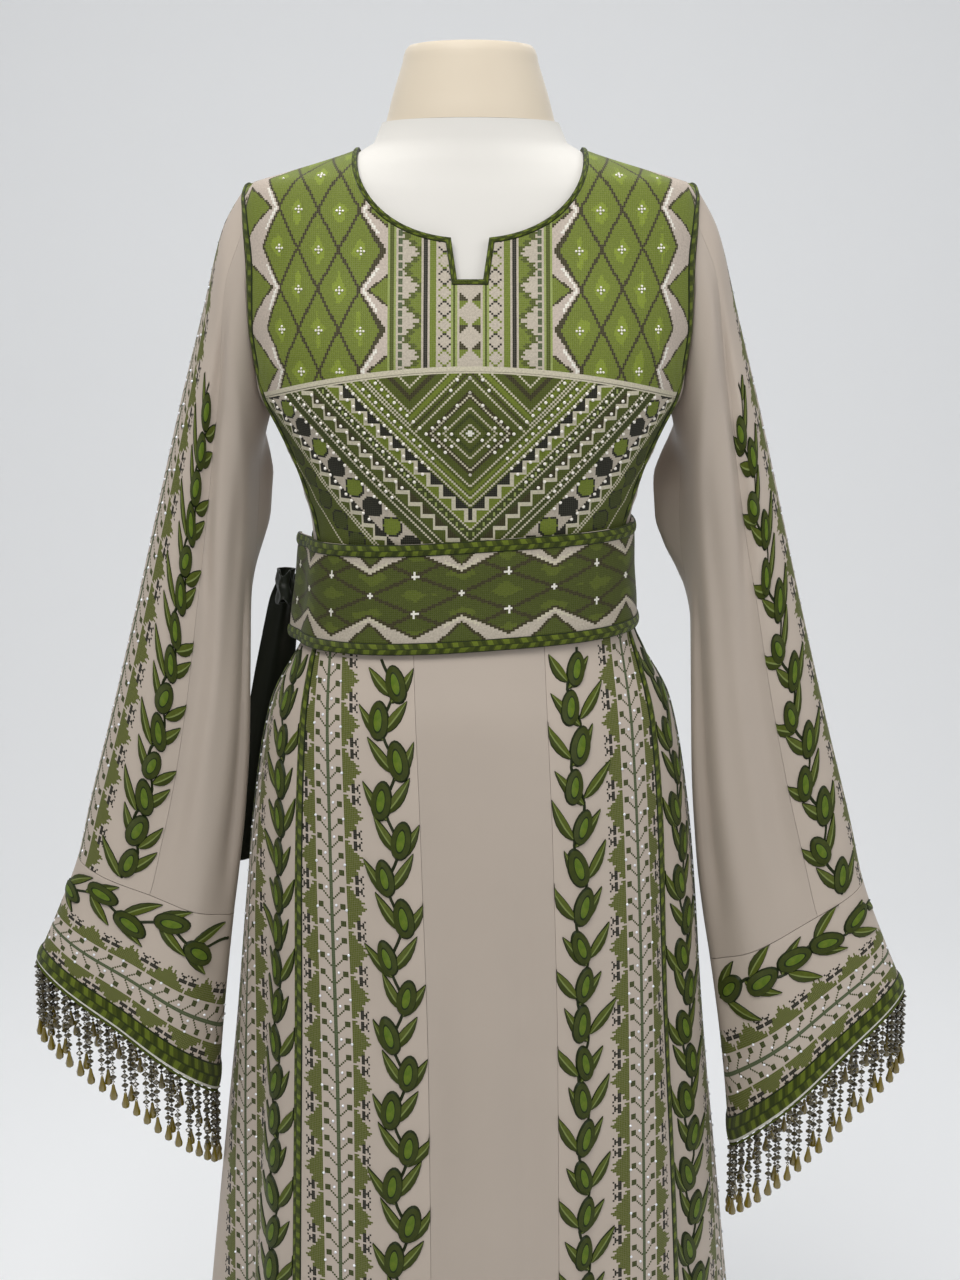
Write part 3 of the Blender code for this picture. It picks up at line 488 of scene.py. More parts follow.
def both_halves(columns):
    """Rows (z, x) of the whole piece from the columns of its right half."""
    z = np.stack([c[0] for c in columns[:0:-1]] + [c[0] for c in columns], 1)
    x = np.stack([-c[1] for c in columns[:0:-1]] + [c[1] for c in columns], 1)
    return z, x


def seam_x(foot):
    """Where a column of the yoke or the chest meets the chest seam."""
    return float(bent(foot, CHEST_CORNER, PIPING + GAP, False))


def dense_arc(surface, z):
    """Angles from the front to the back centre and the arc length to each, at one height."""
    angle = np.linspace(0, np.pi, 721)
    return angle, run_of(surface(np.full(angle.shape, z), angle))


def skirt_marks(z, side):
    """Arc lengths of the seams at one height, from the front centre to the back centre, on one side."""
    angle, arc = dense_arc(lambda h, a: skirt(h, side * a), z)
    gore = float(table_curve(GORES, 1, z))
    side_gore = float(table_curve(GORES, 2, z))
    shift = side * float(table_curve(TURN, 1, z))
    total = arc[-1]
    front_piping = CENTRE_HALF + gore
    side_seam = front_piping + PIPING + side_gore
    rest = total - side_seam - PIPING
    back_centre = 0.15 * rest + 0.020
    back_piping = side_seam + PIPING + 0.68 * (rest - back_centre)
    at = [0, CENTRE_HALF, front_piping, front_piping + PIPING, side_seam, side_seam + PIPING]
    at += [back_piping, back_piping + PIPING, total - back_centre, total]
    moved = shift * np.array([1, 1, 1, 1, 0.5, 0.5, 0, 0, 0, 0])
    return np.array(at) + moved, angle, arc


def belt_surface(share, angle):
    """The belt's inside face: straight from its lower to its upper edge, its left end free of the robe."""
    x = 0.142 * np.sin(angle)
    foot = skirt(BELT_Z - BELT_HALF_HEIGHT + belt_lift(x), angle)
    head = body(BELT_Z + BELT_HALF_HEIGHT + belt_lift(x), angle)
    middle = foot + (head - foot) * share[..., None]
    free = smooth(-1.35, -1.66, angle) * 0.011
    away = np.stack([-np.ones_like(angle), -0.35 + 0 * angle, 0 * angle], -1)
    return middle + away * free[..., None]


def armhole(turn):
    """A point of the armhole, just inside its edge. Turn is 0 on the shoulder and runs down the front."""
    inside = 0.0013
    z = ARMHOLE_Z + (ARMHOLE_HALF - inside) * np.cos(turn)
    y = -(ARMHOLE_DEPTH - inside) * np.sin(turn)
    x = np.where(y < 0, x_at_depth(y, z), x_at_depth(y, z, True))
    return np.stack([x + 0.0005, y, z], -1)


def sleeve(s, turn, side):
    """A point of a sleeve. s runs from 0 at the armhole past 1 at the cuff's seam to 1.25 at its hem."""
    s = np.asarray(s, float) + 0 * np.asarray(turn, float)
    ox, oz, ix, iz, depth, middle = (table_curve(SLEEVE, i, s) for i in range(1, 7))
    # The left sleeve hangs a little higher, and the right cuff is a little narrower.
    oz = oz - side * 0.011 * s
    iz = iz - side * 0.021 * s
    ix = ix + 0.006 * max(side, 0) * smooth(0.85, 1.2, s)
    c, k = np.cos(turn), np.sin(turn)
    cc, kk = (np.sign(w) * np.abs(w) ** (2 / 2.15) for w in (c, k))
    x = (ox + ix) / 2 + (ox - ix) / 2 * cc
    z = (oz + iz) / 2 + (oz - iz) / 2 * cc
    y = middle - depth * kk
    # The cloth draws in behind the upper arm, sinks in folds down the front, and swings at the cuff.
    behind = np.exp(-(((np.mod(turn, 2 * np.pi) - 3.75) / 0.5) ** 2))
    x = x - (0.023 + 0.007 * side) * behind * smooth(0.03, 0.15, s) * smooth(0.38, 0.2, s)
    fall = smooth(0.1, 0.5, s) * smooth(1.25, 0.9, s)
    crease = np.cos(5.0 * turn + 2.4) * np.exp(-(((turn - 2.45) / 0.55) ** 2))
    y = y - 0.0045 * fall * crease
    swing = smooth(0.3, 1.0, s) * 0.004 * np.cos(4 * turn + 0.8 + 0.6 * side)
    y = y + swing * (1 - np.abs(c))
    z = z + 0.010 * smooth(0.95, 1.25, s) * np.maximum(k, 0)
    # It starts on the armhole's edge.
    keep = (1 - smooth(0.0, 0.085, s))[..., None]
    return np.stack([x, y, z], -1) * (1 - keep) + armhole(turn) * keep


def sleeve_middle(s, turn, side):
    return (sleeve(s, 0 * turn, side) + sleeve(s, 0 * turn + np.pi, side)) / 2


def sleeve_cloth(s, turn, side):
    """The sleeve with its small creases, which sink towards its middle."""
    point = sleeve(s, turn, side)
    wrapped = np.mod(turn, 2 * np.pi)
    shifted = wrapped + 0.12 * side * np.sin(wrapped)
    s = np.asarray(s, float) + 0 * turn
    depth = crease_depth(SLEEVE_CREASES, s, shifted, 2 * np.pi) * smooth(1.0, 0.86, s)
    inwards = unit((sleeve_middle(s, turn, side) - point) * np.array([0.25, 1, 0.1]))
    return point + inwards * depth[..., None]


def sleeve_turns(s, side, front):
    """Turns from the outer line to the inner one and the arc length to each, at one s."""
    turn = np.linspace(0, np.pi, 361) * (1 if front else -1)
    return turn, run_of(sleeve(np.full(turn.shape, s), turn, side))


def band_edge(s, side, front):
    ahead = table_curve(BAND, 1 if side < 0 else 2, s)
    return float(ahead if front else table_curve(BAND, 3, s) - ahead)


# ---------------------------------------------------------------- pieces of cloth


class Panel:
    """A piece of cloth as a grid. Row i lies at v[i] along it, from u[i, 0] to u[i, -1] across it."""

    def __init__(self, points, u, v, inside):
        self.points = points
        self.u = u
        self.v = v
        along = np.gradient(points, axis=0)
        across = np.gradient(points, axis=1)
        normal = np.cross(across, along)
        normal /= np.maximum(np.linalg.norm(normal, axis=-1, keepdims=True), 1e-12)
        if ((points - inside) * normal).sum() < 0:
            normal = -normal
        self.normals = normal

    def at(self, u, v, lift=0.0):
        """Points on the cloth at (u, v), moved out by lift."""
        u, v = np.broadcast_arrays(np.asarray(u, float), np.asarray(v, float))
        rows, columns = self.u.shape
        order = 1 if self.v[-1] > self.v[0] else -1
        row = np.interp(v * order, self.v * order, np.arange(rows))
        r = np.clip(row.astype(int), 0, rows - 2)
        f = row - r
        first = self.u[r, 0] * (1 - f) + self.u[r + 1, 0] * f
        last = self.u[r, -1] * (1 - f) + self.u[r + 1, -1] * f
        column = np.clip((u - first) / (last - first), 0, 1) * (columns - 1)
        c = np.clip(column.astype(int), 0, columns - 2)
        g = (column - c)[..., None]
        f = f[..., None]

        def mixed(grid):
            top = grid[r, c] * (1 - g) + grid[r, c + 1] * g
            low = grid[r + 1, c] * (1 - g) + grid[r + 1, c + 1] * g
            return top * (1 - f) + low * f

        return mixed(self.points) + unit(mixed(self.normals)) * np.asarray(lift, float)[..., None]

    def shell(self, name, thick, rise, materials, across=1):
        """The panel as a shell. Its uv is (u, v), with u times across."""
        uv = uv_of(self.u * across, self.v[:, None])
        return shell(name, self.points, self.normals, uv, thick, rise, materials)


def add_mesh(name, points, faces, uv, materials, slots=None, sharp=50):
    """A mesh object from points, faces, a (u, v) per point and a material for each face."""
    mesh = bpy.data.meshes.new(name)
    mesh.from_pydata(np.asarray(points).tolist(), [], [list(map(int, f)) for f in faces])
    for material in materials:
        mesh.materials.append(material)
    if slots is not None:
        mesh.polygons.foreach_set("material_index", np.asarray(slots, np.int32))
    layer = mesh.uv_layers.new(name="cloth")
    index = np.zeros(len(mesh.loops), np.int32)
    mesh.loops.foreach_get("vertex_index", index)
    layer.data.foreach_set("uv", np.asarray(uv, np.float32)[index].ravel())
    mesh.polygons.foreach_set("use_smooth", np.ones(len(mesh.polygons), bool))
    mesh.update()
    mesh.set_sharp_from_angle(angle=math.radians(sharp))
    return linked(name, mesh)


def linked(name, data):
    thing = bpy.data.objects.new(name, data)
    bpy.context.scene.collection.objects.link(thing)
    return thing


def uv_of(u, v):
    return np.stack(np.broadcast_arrays(u, v), -1)


def shell(name, points, normals, uv, thick, rise, materials, closed=False):
    """A closed thin shell on a grid of points: outside face, inside face and the cut edges between them."""
    CUTS[name] = cut_of(points, uv)
    rows, columns = points.shape[:2]
    rise = (np.asarray(rise, float) + np.zeros((rows, columns)))[..., None]
    half = rows * columns
    r, c = np.meshgrid(np.arange(rows - 1), np.arange(columns - 1), indexing="ij")
    a = (r * columns + c).ravel()
    quads = np.stack([a, a + 1, a + 1 + columns, a + columns], 1)

    def rim(line, step, turned=False):
        faces = np.stack([line, line + half, line + step + half, line + step], 1)
        return faces[:, [0, 3, 2, 1]] if turned else faces

    line = np.arange(columns - 1)
    faces = [quads, quads[:, ::-1] + half, rim(line, 1), rim(line + (rows - 1) * columns, 1, True)]
    if not closed:
        line = np.arange(rows - 1) * columns
        faces += [rim(line, columns, True), rim(line + columns - 1, columns)]
    faces = np.concatenate(faces)
    slots = np.zeros(len(faces), int)
    if len(materials) > 1:
        slots[len(quads) : 2 * len(quads)] = 1
    every = np.concatenate([p.reshape(-1, 3) for p in (points + normals * rise, points - normals * thick)])
    uv = np.concatenate([uv.reshape(-1, 2)] * 2)
    if closed:
        # The last column lies on the first.
        turn = np.arange(2 * half)
        turn[turn % columns == columns - 1] -= columns - 1
        faces = turn[faces]
    corner = every[faces]
    volume = sum(
        np.einsum("ij,ij->i", corner[:, 0], np.cross(corner[:, k], corner[:, k + 1])).sum() for k in (1, 2)
    )
    if volume < 0:
        faces = faces[:, ::-1]
    if closed:
        used, flat = np.unique(faces, return_inverse=True)
        faces, every, uv = flat.reshape(faces.shape), every[used], uv[used]
    return add_mesh(name, every, faces, uv, materials, slots)


def dress(piece, slot, *nodes):
    """Every piece rides on the one body and stands for its CAD nodes. The slot is not used."""
    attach(piece, "root")
    if nodes:
        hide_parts(*nodes)
    return piece


def skirt_panels():
    """The skirt's panels and pipings as grids, by name. u starts at the seam nearest the front centre."""
    heights = np.linspace(HEM_Z, WAIST_Z - GAP, 121)
    spans = (
        ("skirt_front", 18),
        ("skirt_piping_front", 6),
        ("skirt_side_front", 24),
        ("skirt_piping_side", 6),
        ("skirt_side_back", 22),
        ("skirt_piping_back", 6),
        ("skirt_back", 16),
    )
    found = {}
    edges = {}
    for side, label in SIDES:
        marks = [skirt_marks(z, side) for z in heights]
        for first, (name, cells) in enumerate(spans, 1):
            angles, u = [], []
            for at, angle, arc in marks:
                across = np.linspace(at[first] + GAP / 2, at[first + 1] - GAP / 2, cells + 1)
                angles.append(side * np.interp(across, arc, angle))
                u.append(across - across[0])
            found[name + "_" + label] = (np.array(angles), np.array(u))
        for end, seam, gap in (("front", 1, -GAP / 2), ("back", 8, GAP / 2)):
            line = [np.interp(at[seam] + gap, arc, angle) for at, angle, arc in marks]
            edges[end, side] = side * np.array(line)[:, None]
    share = np.linspace(0, 1, 19)
    width = np.linspace(-0.5, 0.5, 19) * 2 * CENTRE_HALF + 0 * heights[:, None]
    left, right = edges["front", -1], edges["front", 1]
    found["skirt_front_centre"] = (left + (right - left) * share, width)
    left, right = edges["back", 1], edges["back", -1] + 2 * np.pi
    angles = left + (right - left) * share
    step = np.linalg.norm(np.diff(skirt(heights[:, None] + 0 * angles, angles), axis=1), axis=2)
    found["skirt_back_centre"] = (angles, np.concatenate([0 * step[:, :1], np.cumsum(step, 1)], 1))
    panels = {}
    for name, (angles, u) in found.items():
        points = skirt_cloth(heights[:, None] + 0 * angles, angles)
        v = run_of(points[:, points.shape[1] // 2])
        panels[name] = Panel(points, u, v, points * np.array([0, 0, 1]))
    return panels


def arc_from(surface, start_z, start_x, z, x, back, along_z):
    """Arc length on the bodice from a start to (x, z), at one x when along_z and else at one z."""
    share = np.linspace(0, 1, 48)
    if along_z:
        zz = start_z + (z[..., None] - start_z) * share
        xx = x[..., None] + 0 * share
    else:
        zz = z[..., None] + 0 * share
        xx = start_x + (x[..., None] - start_x) * share
    point = surface(zz, angle_at(BODY, xx, zz, back))
    return np.linalg.norm(np.diff(point, axis=-2), axis=-1).sum(-1)


def bodice_uv(z, x, back):
    u = arc_from(body, 0, 0, z, x, back, False) * np.sign(x)
    v = BODICE_V + arc_from(body, BODICE_V, 0, z, x, back, True) * np.sign(z - BODICE_V)
    return np.stack([u, v], -1)


def bodice_shell(name, halves, back, cloth):
    """A piece of the front or the back of the bodice from its columns on one side."""
    z, x = both_halves(halves)
    angle = angle_at(BODY, x, z, back)
    normal = outward(body, z, angle)
    return shell(name, body_cloth(z, angle), normal, bodice_uv(z, x, back), CLOTH, 0.0, cloth)


def bodice_pieces(m):
    """The yoke, chest, back, sides, pipings and neck binding."""
    extra = PIPING + GAP
    made = {}
    shoulder = [(x, shoulder_top(x)) for x in SHOULDER_COLUMNS]

    def low(foot):
        return chest_seam(seam_x(foot)) + GAP

    edge_z = edge_heights(low(SHOULDER_X), extra, 60)
    tops = list(zip(*neck_stations(BINDING + GAP, NECK_SCOOP, True))) + shoulder
    feet = np.interp(np.arange(len(tops)), [0, 1, 2, len(tops) - 1], YOKE_FEET)
    columns = fan(tops, feet, low, extra, edge_z, False, 1.5)
    made["bodice_yoke"] = bodice_shell("bodice_yoke", columns, False, [m["yoke"], m["lining"]])

    seam = chest_seam(seam_x(SHOULDER_X))
    edge_z = np.linspace(WAIST_Z, seam, 44)
    shares = (edge_z - WAIST_Z) / (seam - WAIST_Z)
    columns = []
    for foot in np.linspace(0, 0.180, 30):
        middle = seam_x(foot)
        heights = WAIST_Z + (chest_seam(middle) - WAIST_Z) * shares
        columns.append((heights, middle * edge_x(edge_z, extra) / seam_x(SHOULDER_X)))
    columns.append((edge_z, edge_x(edge_z, extra)))
    made["bodice_chest"] = bodice_shell("bodice_chest", columns, False, [m["chest"], m["lining"]])

    edge_z = edge_heights(WAIST_Z, 0, 60)
    tops = list(zip(*neck_stations(BINDING + GAP, NECK_BACK_SCOOP, False))) + shoulder
    feet = np.linspace(0, 1, len(tops)) ** 0.85 * 0.180
    columns = fan(tops, feet, lambda foot: WAIST_Z, 0, edge_z, True, 1.8)
    made["bodice_back"] = bodice_shell("bodice_back", columns, True, [m["plain"], m["lining"]])

    for side, label in SIDES:
        y = np.linspace(-1, 1, 17) * (PRINCESS_DEPTH - GAP)
        top = ARMHOLE_Z - ARMHOLE_HALF * np.sqrt(1 - (y / ARMHOLE_DEPTH) ** 2)
        z = WAIST_Z + (top - WAIST_Z) * np.linspace(0, 1, 30)[:, None]
        y = y + 0 * z
        x = np.where(y < 0, x_at_depth(y, z), x_at_depth(y, z, True))
        angle = side * np.arctan2(x, -y)
        point, normal = body_cloth(z, angle), outward(body, z, angle)
        name = "bodice_side_" + label
        made[name] = shell(name, point, normal, uv_of(y, z), CLOTH, 0.0, [m["plain"], m["lining"]])

        z = np.stack([edge_heights(WAIST_Z, PIPING * share, 130) for share in np.linspace(0, 1, 7)], 1)
        x = np.stack([edge_x(z[:, i], PIPING * i / 6) for i in range(7)], 1)
        angle = side * angle_at(BODY, x, z)
        point = body(z, angle)
        uv = uv_of(np.linspace(0, PIPING, 7), run_of(point[:, 3])[:, None])
        rise = cord_rise(7, under_belt(z, side * x, below=False))
        name = "bodice_piping_" + label
        made[name] = shell(name, point, outward(body, z, angle), uv, CLOTH, rise, [m["satin"]])

    heights, angles = [], []
    for share in np.linspace(0, 1, 5):
        x, z = (np.array(v) for v in neck_stations(BINDING * share, NECK_SCOOP, True))
        front = angle_at(BODY, x, z)
        front[-1] = np.pi / 2
        found = neck_stations(BINDING * share, NECK_BACK_SCOOP, False)
        x, behind = (np.array(v[::-1]) for v in found)
        z = np.concatenate([z, behind[1:]])
        angle = np.concatenate([front, angle_at(BODY, x, behind, back=True)[1:]])
        heights.append(np.concatenate([z, z[-2::-1]]))
        angles.append(np.concatenate([angle, -angle[-2::-1]]))
    z, angle = np.stack(heights), np.stack(angles)
    point = body(z, angle)
    uv = uv_of(np.linspace(0, PIPING, 5)[:, None], run_of(point[2]))
    rise = 0.0006 + 0.0007 * np.sin(np.linspace(0, np.pi, 5))[:, None] + 0 * z
    name = "neck_binding"
    made[name] = shell(name, point, outward(body, z, angle), uv, CLOTH, rise, [m["satin"]], closed=True)
    return made


def swell(count):
    """The round back of a cord or braid, from 0 at one edge through 1 to 0 at the other."""
    return np.sin(np.linspace(0, np.pi, count)) ** 0.6


def cord_rise(columns, free):
    """How far a piping stands proud of the cloth, where free is 1."""
    return (0.0004 + TRIM_RISE * 1.5 * swell(columns)) * free


def belt_pieces(m):
    """The belt, its two braids, the bow and the tail."""
    steps = np.radians(np.linspace(-97, 257, 150))
    angles = np.unwrap(np.arctan2(0.140 * np.sin(steps), 0.1 * np.cos(steps)))
    seat = 0.0009  # between the robe and the belt
    trim = BELT_TRIM / (2 * BELT_HALF_HEIGHT)

    def grid(shares):
        share, angle = np.meshgrid(shares, angles, indexing="ij")
        point = belt_surface(share, angle)
        normal = facing_out(point, cross_normal(belt_surface, share, angle, 1e-3, 1e-4))
        return point + normal * (0.0010 - 0.0007 * share)[..., None], normal

    shares = np.linspace(0, 1, 15)
    point, normal = grid(shares)
    along = run_of(point[7])
    along = along - np.interp(0.0, angles, along)
    shares = shares[:, None]
    uv = uv_of(along, shares * 2 * BELT_HALF_HEIGHT)
    # Soft ripples of a stiffened sash: two shallow dents that run round it.
    rise = BELT_WALL + 0.0005 * np.sin(along * 31 + 9 * shares) * np.sin(np.pi * shares)
    made = {"belt": shell("belt", point + normal * seat, normal, uv, 0.0, rise, [m["belt"]])}
    face = seat + BELT_WALL + GAP
    for name, low, high in (("belt_trim_bottom", 0, trim), ("belt_trim_top", 1 - trim, 1)):
        point, normal = grid(np.linspace(low, high, 7))
        uv = uv_of(np.linspace(0, BELT_TRIM, 7)[:, None], along)
        rise = 0.0003 + 0.0014 * swell(7)[:, None] + 0 * along
        made[name] = shell(name, point + normal * face, normal, uv, 0.0, rise, [m["braid"]])
    made["belt_tie_bow"], made["belt_tie_tail"] = tie_pieces(m)
    return made


def ribbon(name, middle, across, thick, cup, material):
    """A strip of satin. Middle and across give its points and its half width at each of them."""
    normal = unit(np.cross(np.gradient(middle, axis=0), across))
    shares = np.linspace(-1, 1, cup.shape[1])
    point = middle[:, None] + across[:, None] * shares[None, :, None] + normal[:, None] * cup[..., None]
    lengths = run_of(middle)
    panel = Panel(point, shares * 0.018 + 0 * lengths[:, None], lengths, point - normal[:, None])
    return panel.shell(name, thick / 2, thick / 2, [material])


def tie_pieces(m):
    """The bow, a flattened loop at the belt's left end, and the tail that hangs from it."""
    shares = np.linspace(-1, 1, 11)
    turn = np.radians(np.linspace(-20, 320, 60))
    wave = 0.0015 * np.sin(3 * turn)
    loop = [(0.007 + wave) * np.cos(turn), 0.009 * np.sin(turn), 0 * turn]
    middle = np.stack(loop, 1) + np.array(BOW_AT)
    pinch = 1 - 0.35 * np.exp(-(((turn - 4.6) / 0.5) ** 2))
    across = np.stack([0 * turn, 0.003 * pinch, 0.0155 * pinch], 1)
    cup = 0.0010 * np.cos(shares * 5.5 + turn[:, None] * 1.5) * (1 - 0.2 * shares**2)
    bow = ribbon("belt_tie_bow", middle, across, 0.0014, cup, m["tie"])
    at = np.linspace(0, len(TAIL) - 1, 60)
    columns = [np.interp(at, np.arange(len(TAIL)), column) for column in zip(*TAIL)]
    middle = eased(np.stack(columns[:3], 1), 4)
    half, lean = columns[3:]
    across = np.stack([half * np.cos(lean), half * np.sin(lean), 0 * half], 1)
    fold = 0.0035 * np.cos(shares * 3.6 + 0.25 * at[:, None]) * smooth(0, 1.5, at)[:, None]
    return bow, ribbon("belt_tie_tail", middle, across, 0.0012, fold, m["tie"])


def eased(points, times):
    """Rounds the corners of a line of points, its ends kept."""
    for _ in range(times):
        points[1:-1] = (points[:-2] + 2 * points[1:-1] + points[2:]) / 4
    return points


def mirrored(points, side):
    return points * np.array([side, 1, 1])


def sleeve_panel(along, lines, side, shape=sleeve_cloth, deep=None):
    """A panel of a sleeve or cuff from its rows of (turns, u). Deep sets its length on the cloth."""
    turns, u = (np.array(rows) for rows in zip(*lines))
    s = along[:, None] + 0 * turns
    point = shape(s, turns, side)
    v = run_of(point[:, point.shape[1] // 2])
    if deep:
        step = np.linalg.norm(np.diff(point, axis=0), axis=2).mean(1)
        v = np.concatenate([[0], np.cumsum(step)]) / step.sum() * deep
    return Panel(mirrored(point, side), u, v, mirrored(sleeve_middle(s, turns, side), side))


def sleeve_panels(side):
    """The three panels of one sleeve. The band's u runs from behind the arm to 0 at its front seam."""
    along = np.linspace(0, 0.9995, 84)
    found = {}
    for word, facing, cells in (("front", True, 26), ("back", False, 22)):
        lines = []
        for s in along:
            turn, arc = sleeve_turns(s, side, facing)
            across = np.linspace(band_edge(s, side, facing) + GAP / 2, arc[-1] - GAP / 2, cells + 1)
            lines.append((np.interp(across, arc, turn), across - across[0]))
        found[word] = sleeve_panel(along, lines, side)
    lines = []
    for s in along:
        front_turn, front_arc = sleeve_turns(s, side, True)
        back_turn, back_arc = sleeve_turns(s, side, False)
        front, back = (band_edge(s, side, facing) - GAP / 2 for facing in (True, False))
        across = np.linspace(-back, front, 25)
        behind = np.interp(-across, back_arc, back_turn)
        turn = np.where(across < 0, behind, np.interp(across, front_arc, front_turn))
        lines.append((turn, across - front))
    found["band"] = sleeve_panel(along, lines, side)
    return found


def cuff_panels(side):
    """Front and back of one cuff. u runs from the outer line round to the inner one, v from the seam down."""
    along = np.linspace(1.0005, CUFF_TO, 22)
    found = {}
    for word, facing in (("front", True), ("back", False)):
        lines = []
        for s in along:
            turn, arc = sleeve_turns(s, side, facing)
            across = np.linspace(GAP / 2, arc[-1] - GAP / 2, 49)
            lines.append((np.interp(across, arc, turn), across))
        found[word] = sleeve_panel(along, lines, side, sleeve, CUFF_DEEP)
    return found


def sleeve_pieces(side, label, m):
    """One sleeve with its cuff, braid and fringe, and the panels that carry vines."""
    made, grids = {}, {}
    for word, panel in sleeve_panels(side).items():
        name = "sleeve_" + word + "_" + label
        cloth = m["sleeve"] if word == "band" else m["plain"]
        made[name] = panel.shell(name, CLOTH, 0.0, [cloth, m["lining"]])
        if word == "band":
            grids[name] = panel
    for word, panel in cuff_panels(side).items():
        name = "cuff_" + word + "_" + label
        made[name] = panel.shell(name, CUFF_WALL, 0.0, [m["cuff"], m["lining"]], -side)
        grids[name] = panel
    turns = np.linspace(0, 2 * np.pi, 181) + np.zeros((7, 1))
    s = np.linspace(1.214, CUFF_TO, 7)[:, None] + 0 * turns
    point = sleeve(s, turns, side)
    line = run_of(point[3])
    across = np.linspace(0, BELT_TRIM, 7)[:, None]
    middle = mirrored(sleeve_middle(s, turns, side), side)
    panel = Panel(mirrored(point, side), line + 0 * across, across[:, 0], middle)
    panel.normals[:, 0] = panel.normals[:, -1] = panel.normals[:, 0] + panel.normals[:, -1]
    normals = unit(panel.normals)
    rise = GAP + 0.0003 + 0.0013 * swell(7)[:, None] + 0 * turns
    name = "cuff_braid_" + label
    uv = uv_of(across, line)
    made[name] = shell(name, panel.points, normals, uv, -GAP, rise, [m["hem_braid"]], closed=True)
    made["cuff_fringe_" + label] = fringe(side, label, m)
    return made, grids


def hem_ring(side, count):
    """Evenly spaced points of the cuff's hem, with its outward normals and the way the cloth runs down."""
    turn = np.linspace(0, 2 * np.pi, 1441)
    arc = run_of(sleeve(np.full(turn.shape, CUFF_TO), turn, side))
    turns = np.interp(np.arange(count) * arc[-1] / count, arc, turn)
    at = np.full(turns.shape, CUFF_TO)
    point = sleeve(at, turns, side)
    down = unit(point - sleeve(at - 0.01, turns, side))
    across = sleeve(at, turns + 0.01, side) - sleeve(at, turns - 0.01, side)
    normal = unit(np.cross(across, down))
    away = np.einsum("ij,ij->i", point - sleeve_middle(at, turns, side), normal)
    return point, np.where(away[:, None] < 0, -normal, normal), down


class Soup:
    """Many small solids gathered into one mesh, each face with a material and each point with a uv."""

    def __init__(self):
        self.points, self.faces, self.uv, self.slots = [], [], [], []
        self.count = 0

    def add(self, points, faces, uv=(0.0, 0.0), slots=0):
        """Slots is one material for all of the faces, or a list of theirs."""
        points = np.asarray(points, float)
        self.points.append(points)
        self.uv.append(np.asarray(uv, float) + np.zeros((len(points), 2)))
        self.faces += [tuple(i + self.count for i in face) for face in faces]
        self.slots += slots if isinstance(slots, list) else [slots] * len(faces)
        self.count += len(points)

    def mesh(self, name, materials, sharp):
        points, uv = np.concatenate(self.points), np.concatenate(self.uv)
        return add_mesh(name, points, self.faces, uv, materials, self.slots, sharp)


def lathe(profile, sides, turn):
    """Points and faces of a small round body about Z from (radius, height), its ends drawn to points."""
    angle = np.linspace(0, 2 * np.pi, sides, endpoint=False) + turn
    rings = [(r * np.cos(angle), r * np.sin(angle), h + 0 * angle) for r, h in profile[1:-1]]
    points = [(0, 0, profile[0][1]), *(p for ring in rings for p in zip(*ring)), (0, 0, profile[-1][1])]
    foot = 1 + (len(rings) - 1) * sides
    faces = []
    for i in range(sides):
        j = (i + 1) % sides
        faces.append((0, 1 + j, 1 + i))
        faces += [(a + i, a + j, a + sides + j, a + sides + i) for a in range(1, foot, sides)]
        faces.append((foot + i, foot + j, foot + sides))
    return np.array(points), faces


# The fringe's beads, as (radius, height) from the top down, and how far the strand runs from bead to bead.
BICONE = ((0.0, 0.0028), (0.0032, 0.0004), (0.0032, -0.0004), (0.0, -0.0028))
SEED = ((0.0, 0.0017), (0.0018, 0.0), (0.0, -0.0017))
DROP = ((0.0, 0.0), (0.0012, -0.0012), (0.0018, -0.0050), (0.0036, -0.0112), (0.0032, -0.0142), (0, -0.0165))
BEAD_STEP = 0.0087
INNER_OFF = 0.0045  # from the outer strands to the inner ones


def fringe(side, label, m):
    """Strands of faceted beads with a drop at each foot, on a strip parted from the hem."""
    soup = Soup()
    spot, normal, down = hem_ring(side, 2 * STRANDS)
    head, foot, inner = spot + down * 0.0009, spot + down * 0.0028, -normal * CUFF_WALL
    band = np.concatenate([mirrored(p, side) for p in (head, foot, foot + inner, head + inner)])
    count = len(spot)
    faces = []
    for k in range(count):
        e = (k + 1) % count
        for row in range(4):
            a, b = row * count, (row + 1) % 4 * count
            faces.append((a + k, a + e, b + e, b + k)[::-side])
    soup.add(band, faces, slots=2)
    chance = np.random.default_rng(5 + side)
    middle = foot + inner / 2
    for k in range(count):
        inside = k % 2
        if inside and k % 4 != 1:
            continue
        at = middle[k] - normal[k] * (INNER_OFF * inside)
        level = float(chance.uniform(-0.0015, 0.0015))
        lean = np.array([*chance.uniform(-0.012, 0.012, 2), 1])
        turn = float(chance.uniform(0, np.pi))
        strand, where = [], -0.0002
        for bead in range(5 if inside else 6):
            strand += [(BICONE, 6, turn + bead * 0.7, where - 0.0028, 0), (SEED, 5, turn, where - 0.0072, 0)]
            where -= BEAD_STEP
        strand.append((DROP, 8, turn, where, 1))
        for profile, sides, way, low, slot in strand:
            points, faces = lathe(profile, sides, way)
            points = points + lean * low + at
            points[:, 2] += level * 0.3 * slot
            soup.add(mirrored(points, side), turned_faces(faces, side), slots=slot)
    return soup.mesh("cuff_fringe_" + label, [m["bead"], m["amber"], m["strip"]], 25)


def closed_motif(soup, top, faces, rim, slots, uv):
    """Adds a raised motif: its top faces, and one face under it through the rim."""
    faces = [tuple(face) for face in faces] + [tuple(rim[::-1])]
    slots = list(slots) + [slots[0]]
    centre = top.mean(0)
    volume = 0.0
    for face in faces:
        p = top[list(face)] - centre
        for k in range(1, len(face) - 1):
            volume += float(np.dot(p[0], np.cross(p[k], p[k + 1])))
    if volume < 0:
        faces = [face[::-1] for face in faces]
    soup.add(top, faces, uv, slots)


SUNK = -0.0003  # the edge of a motif lies this far under the face of the cloth
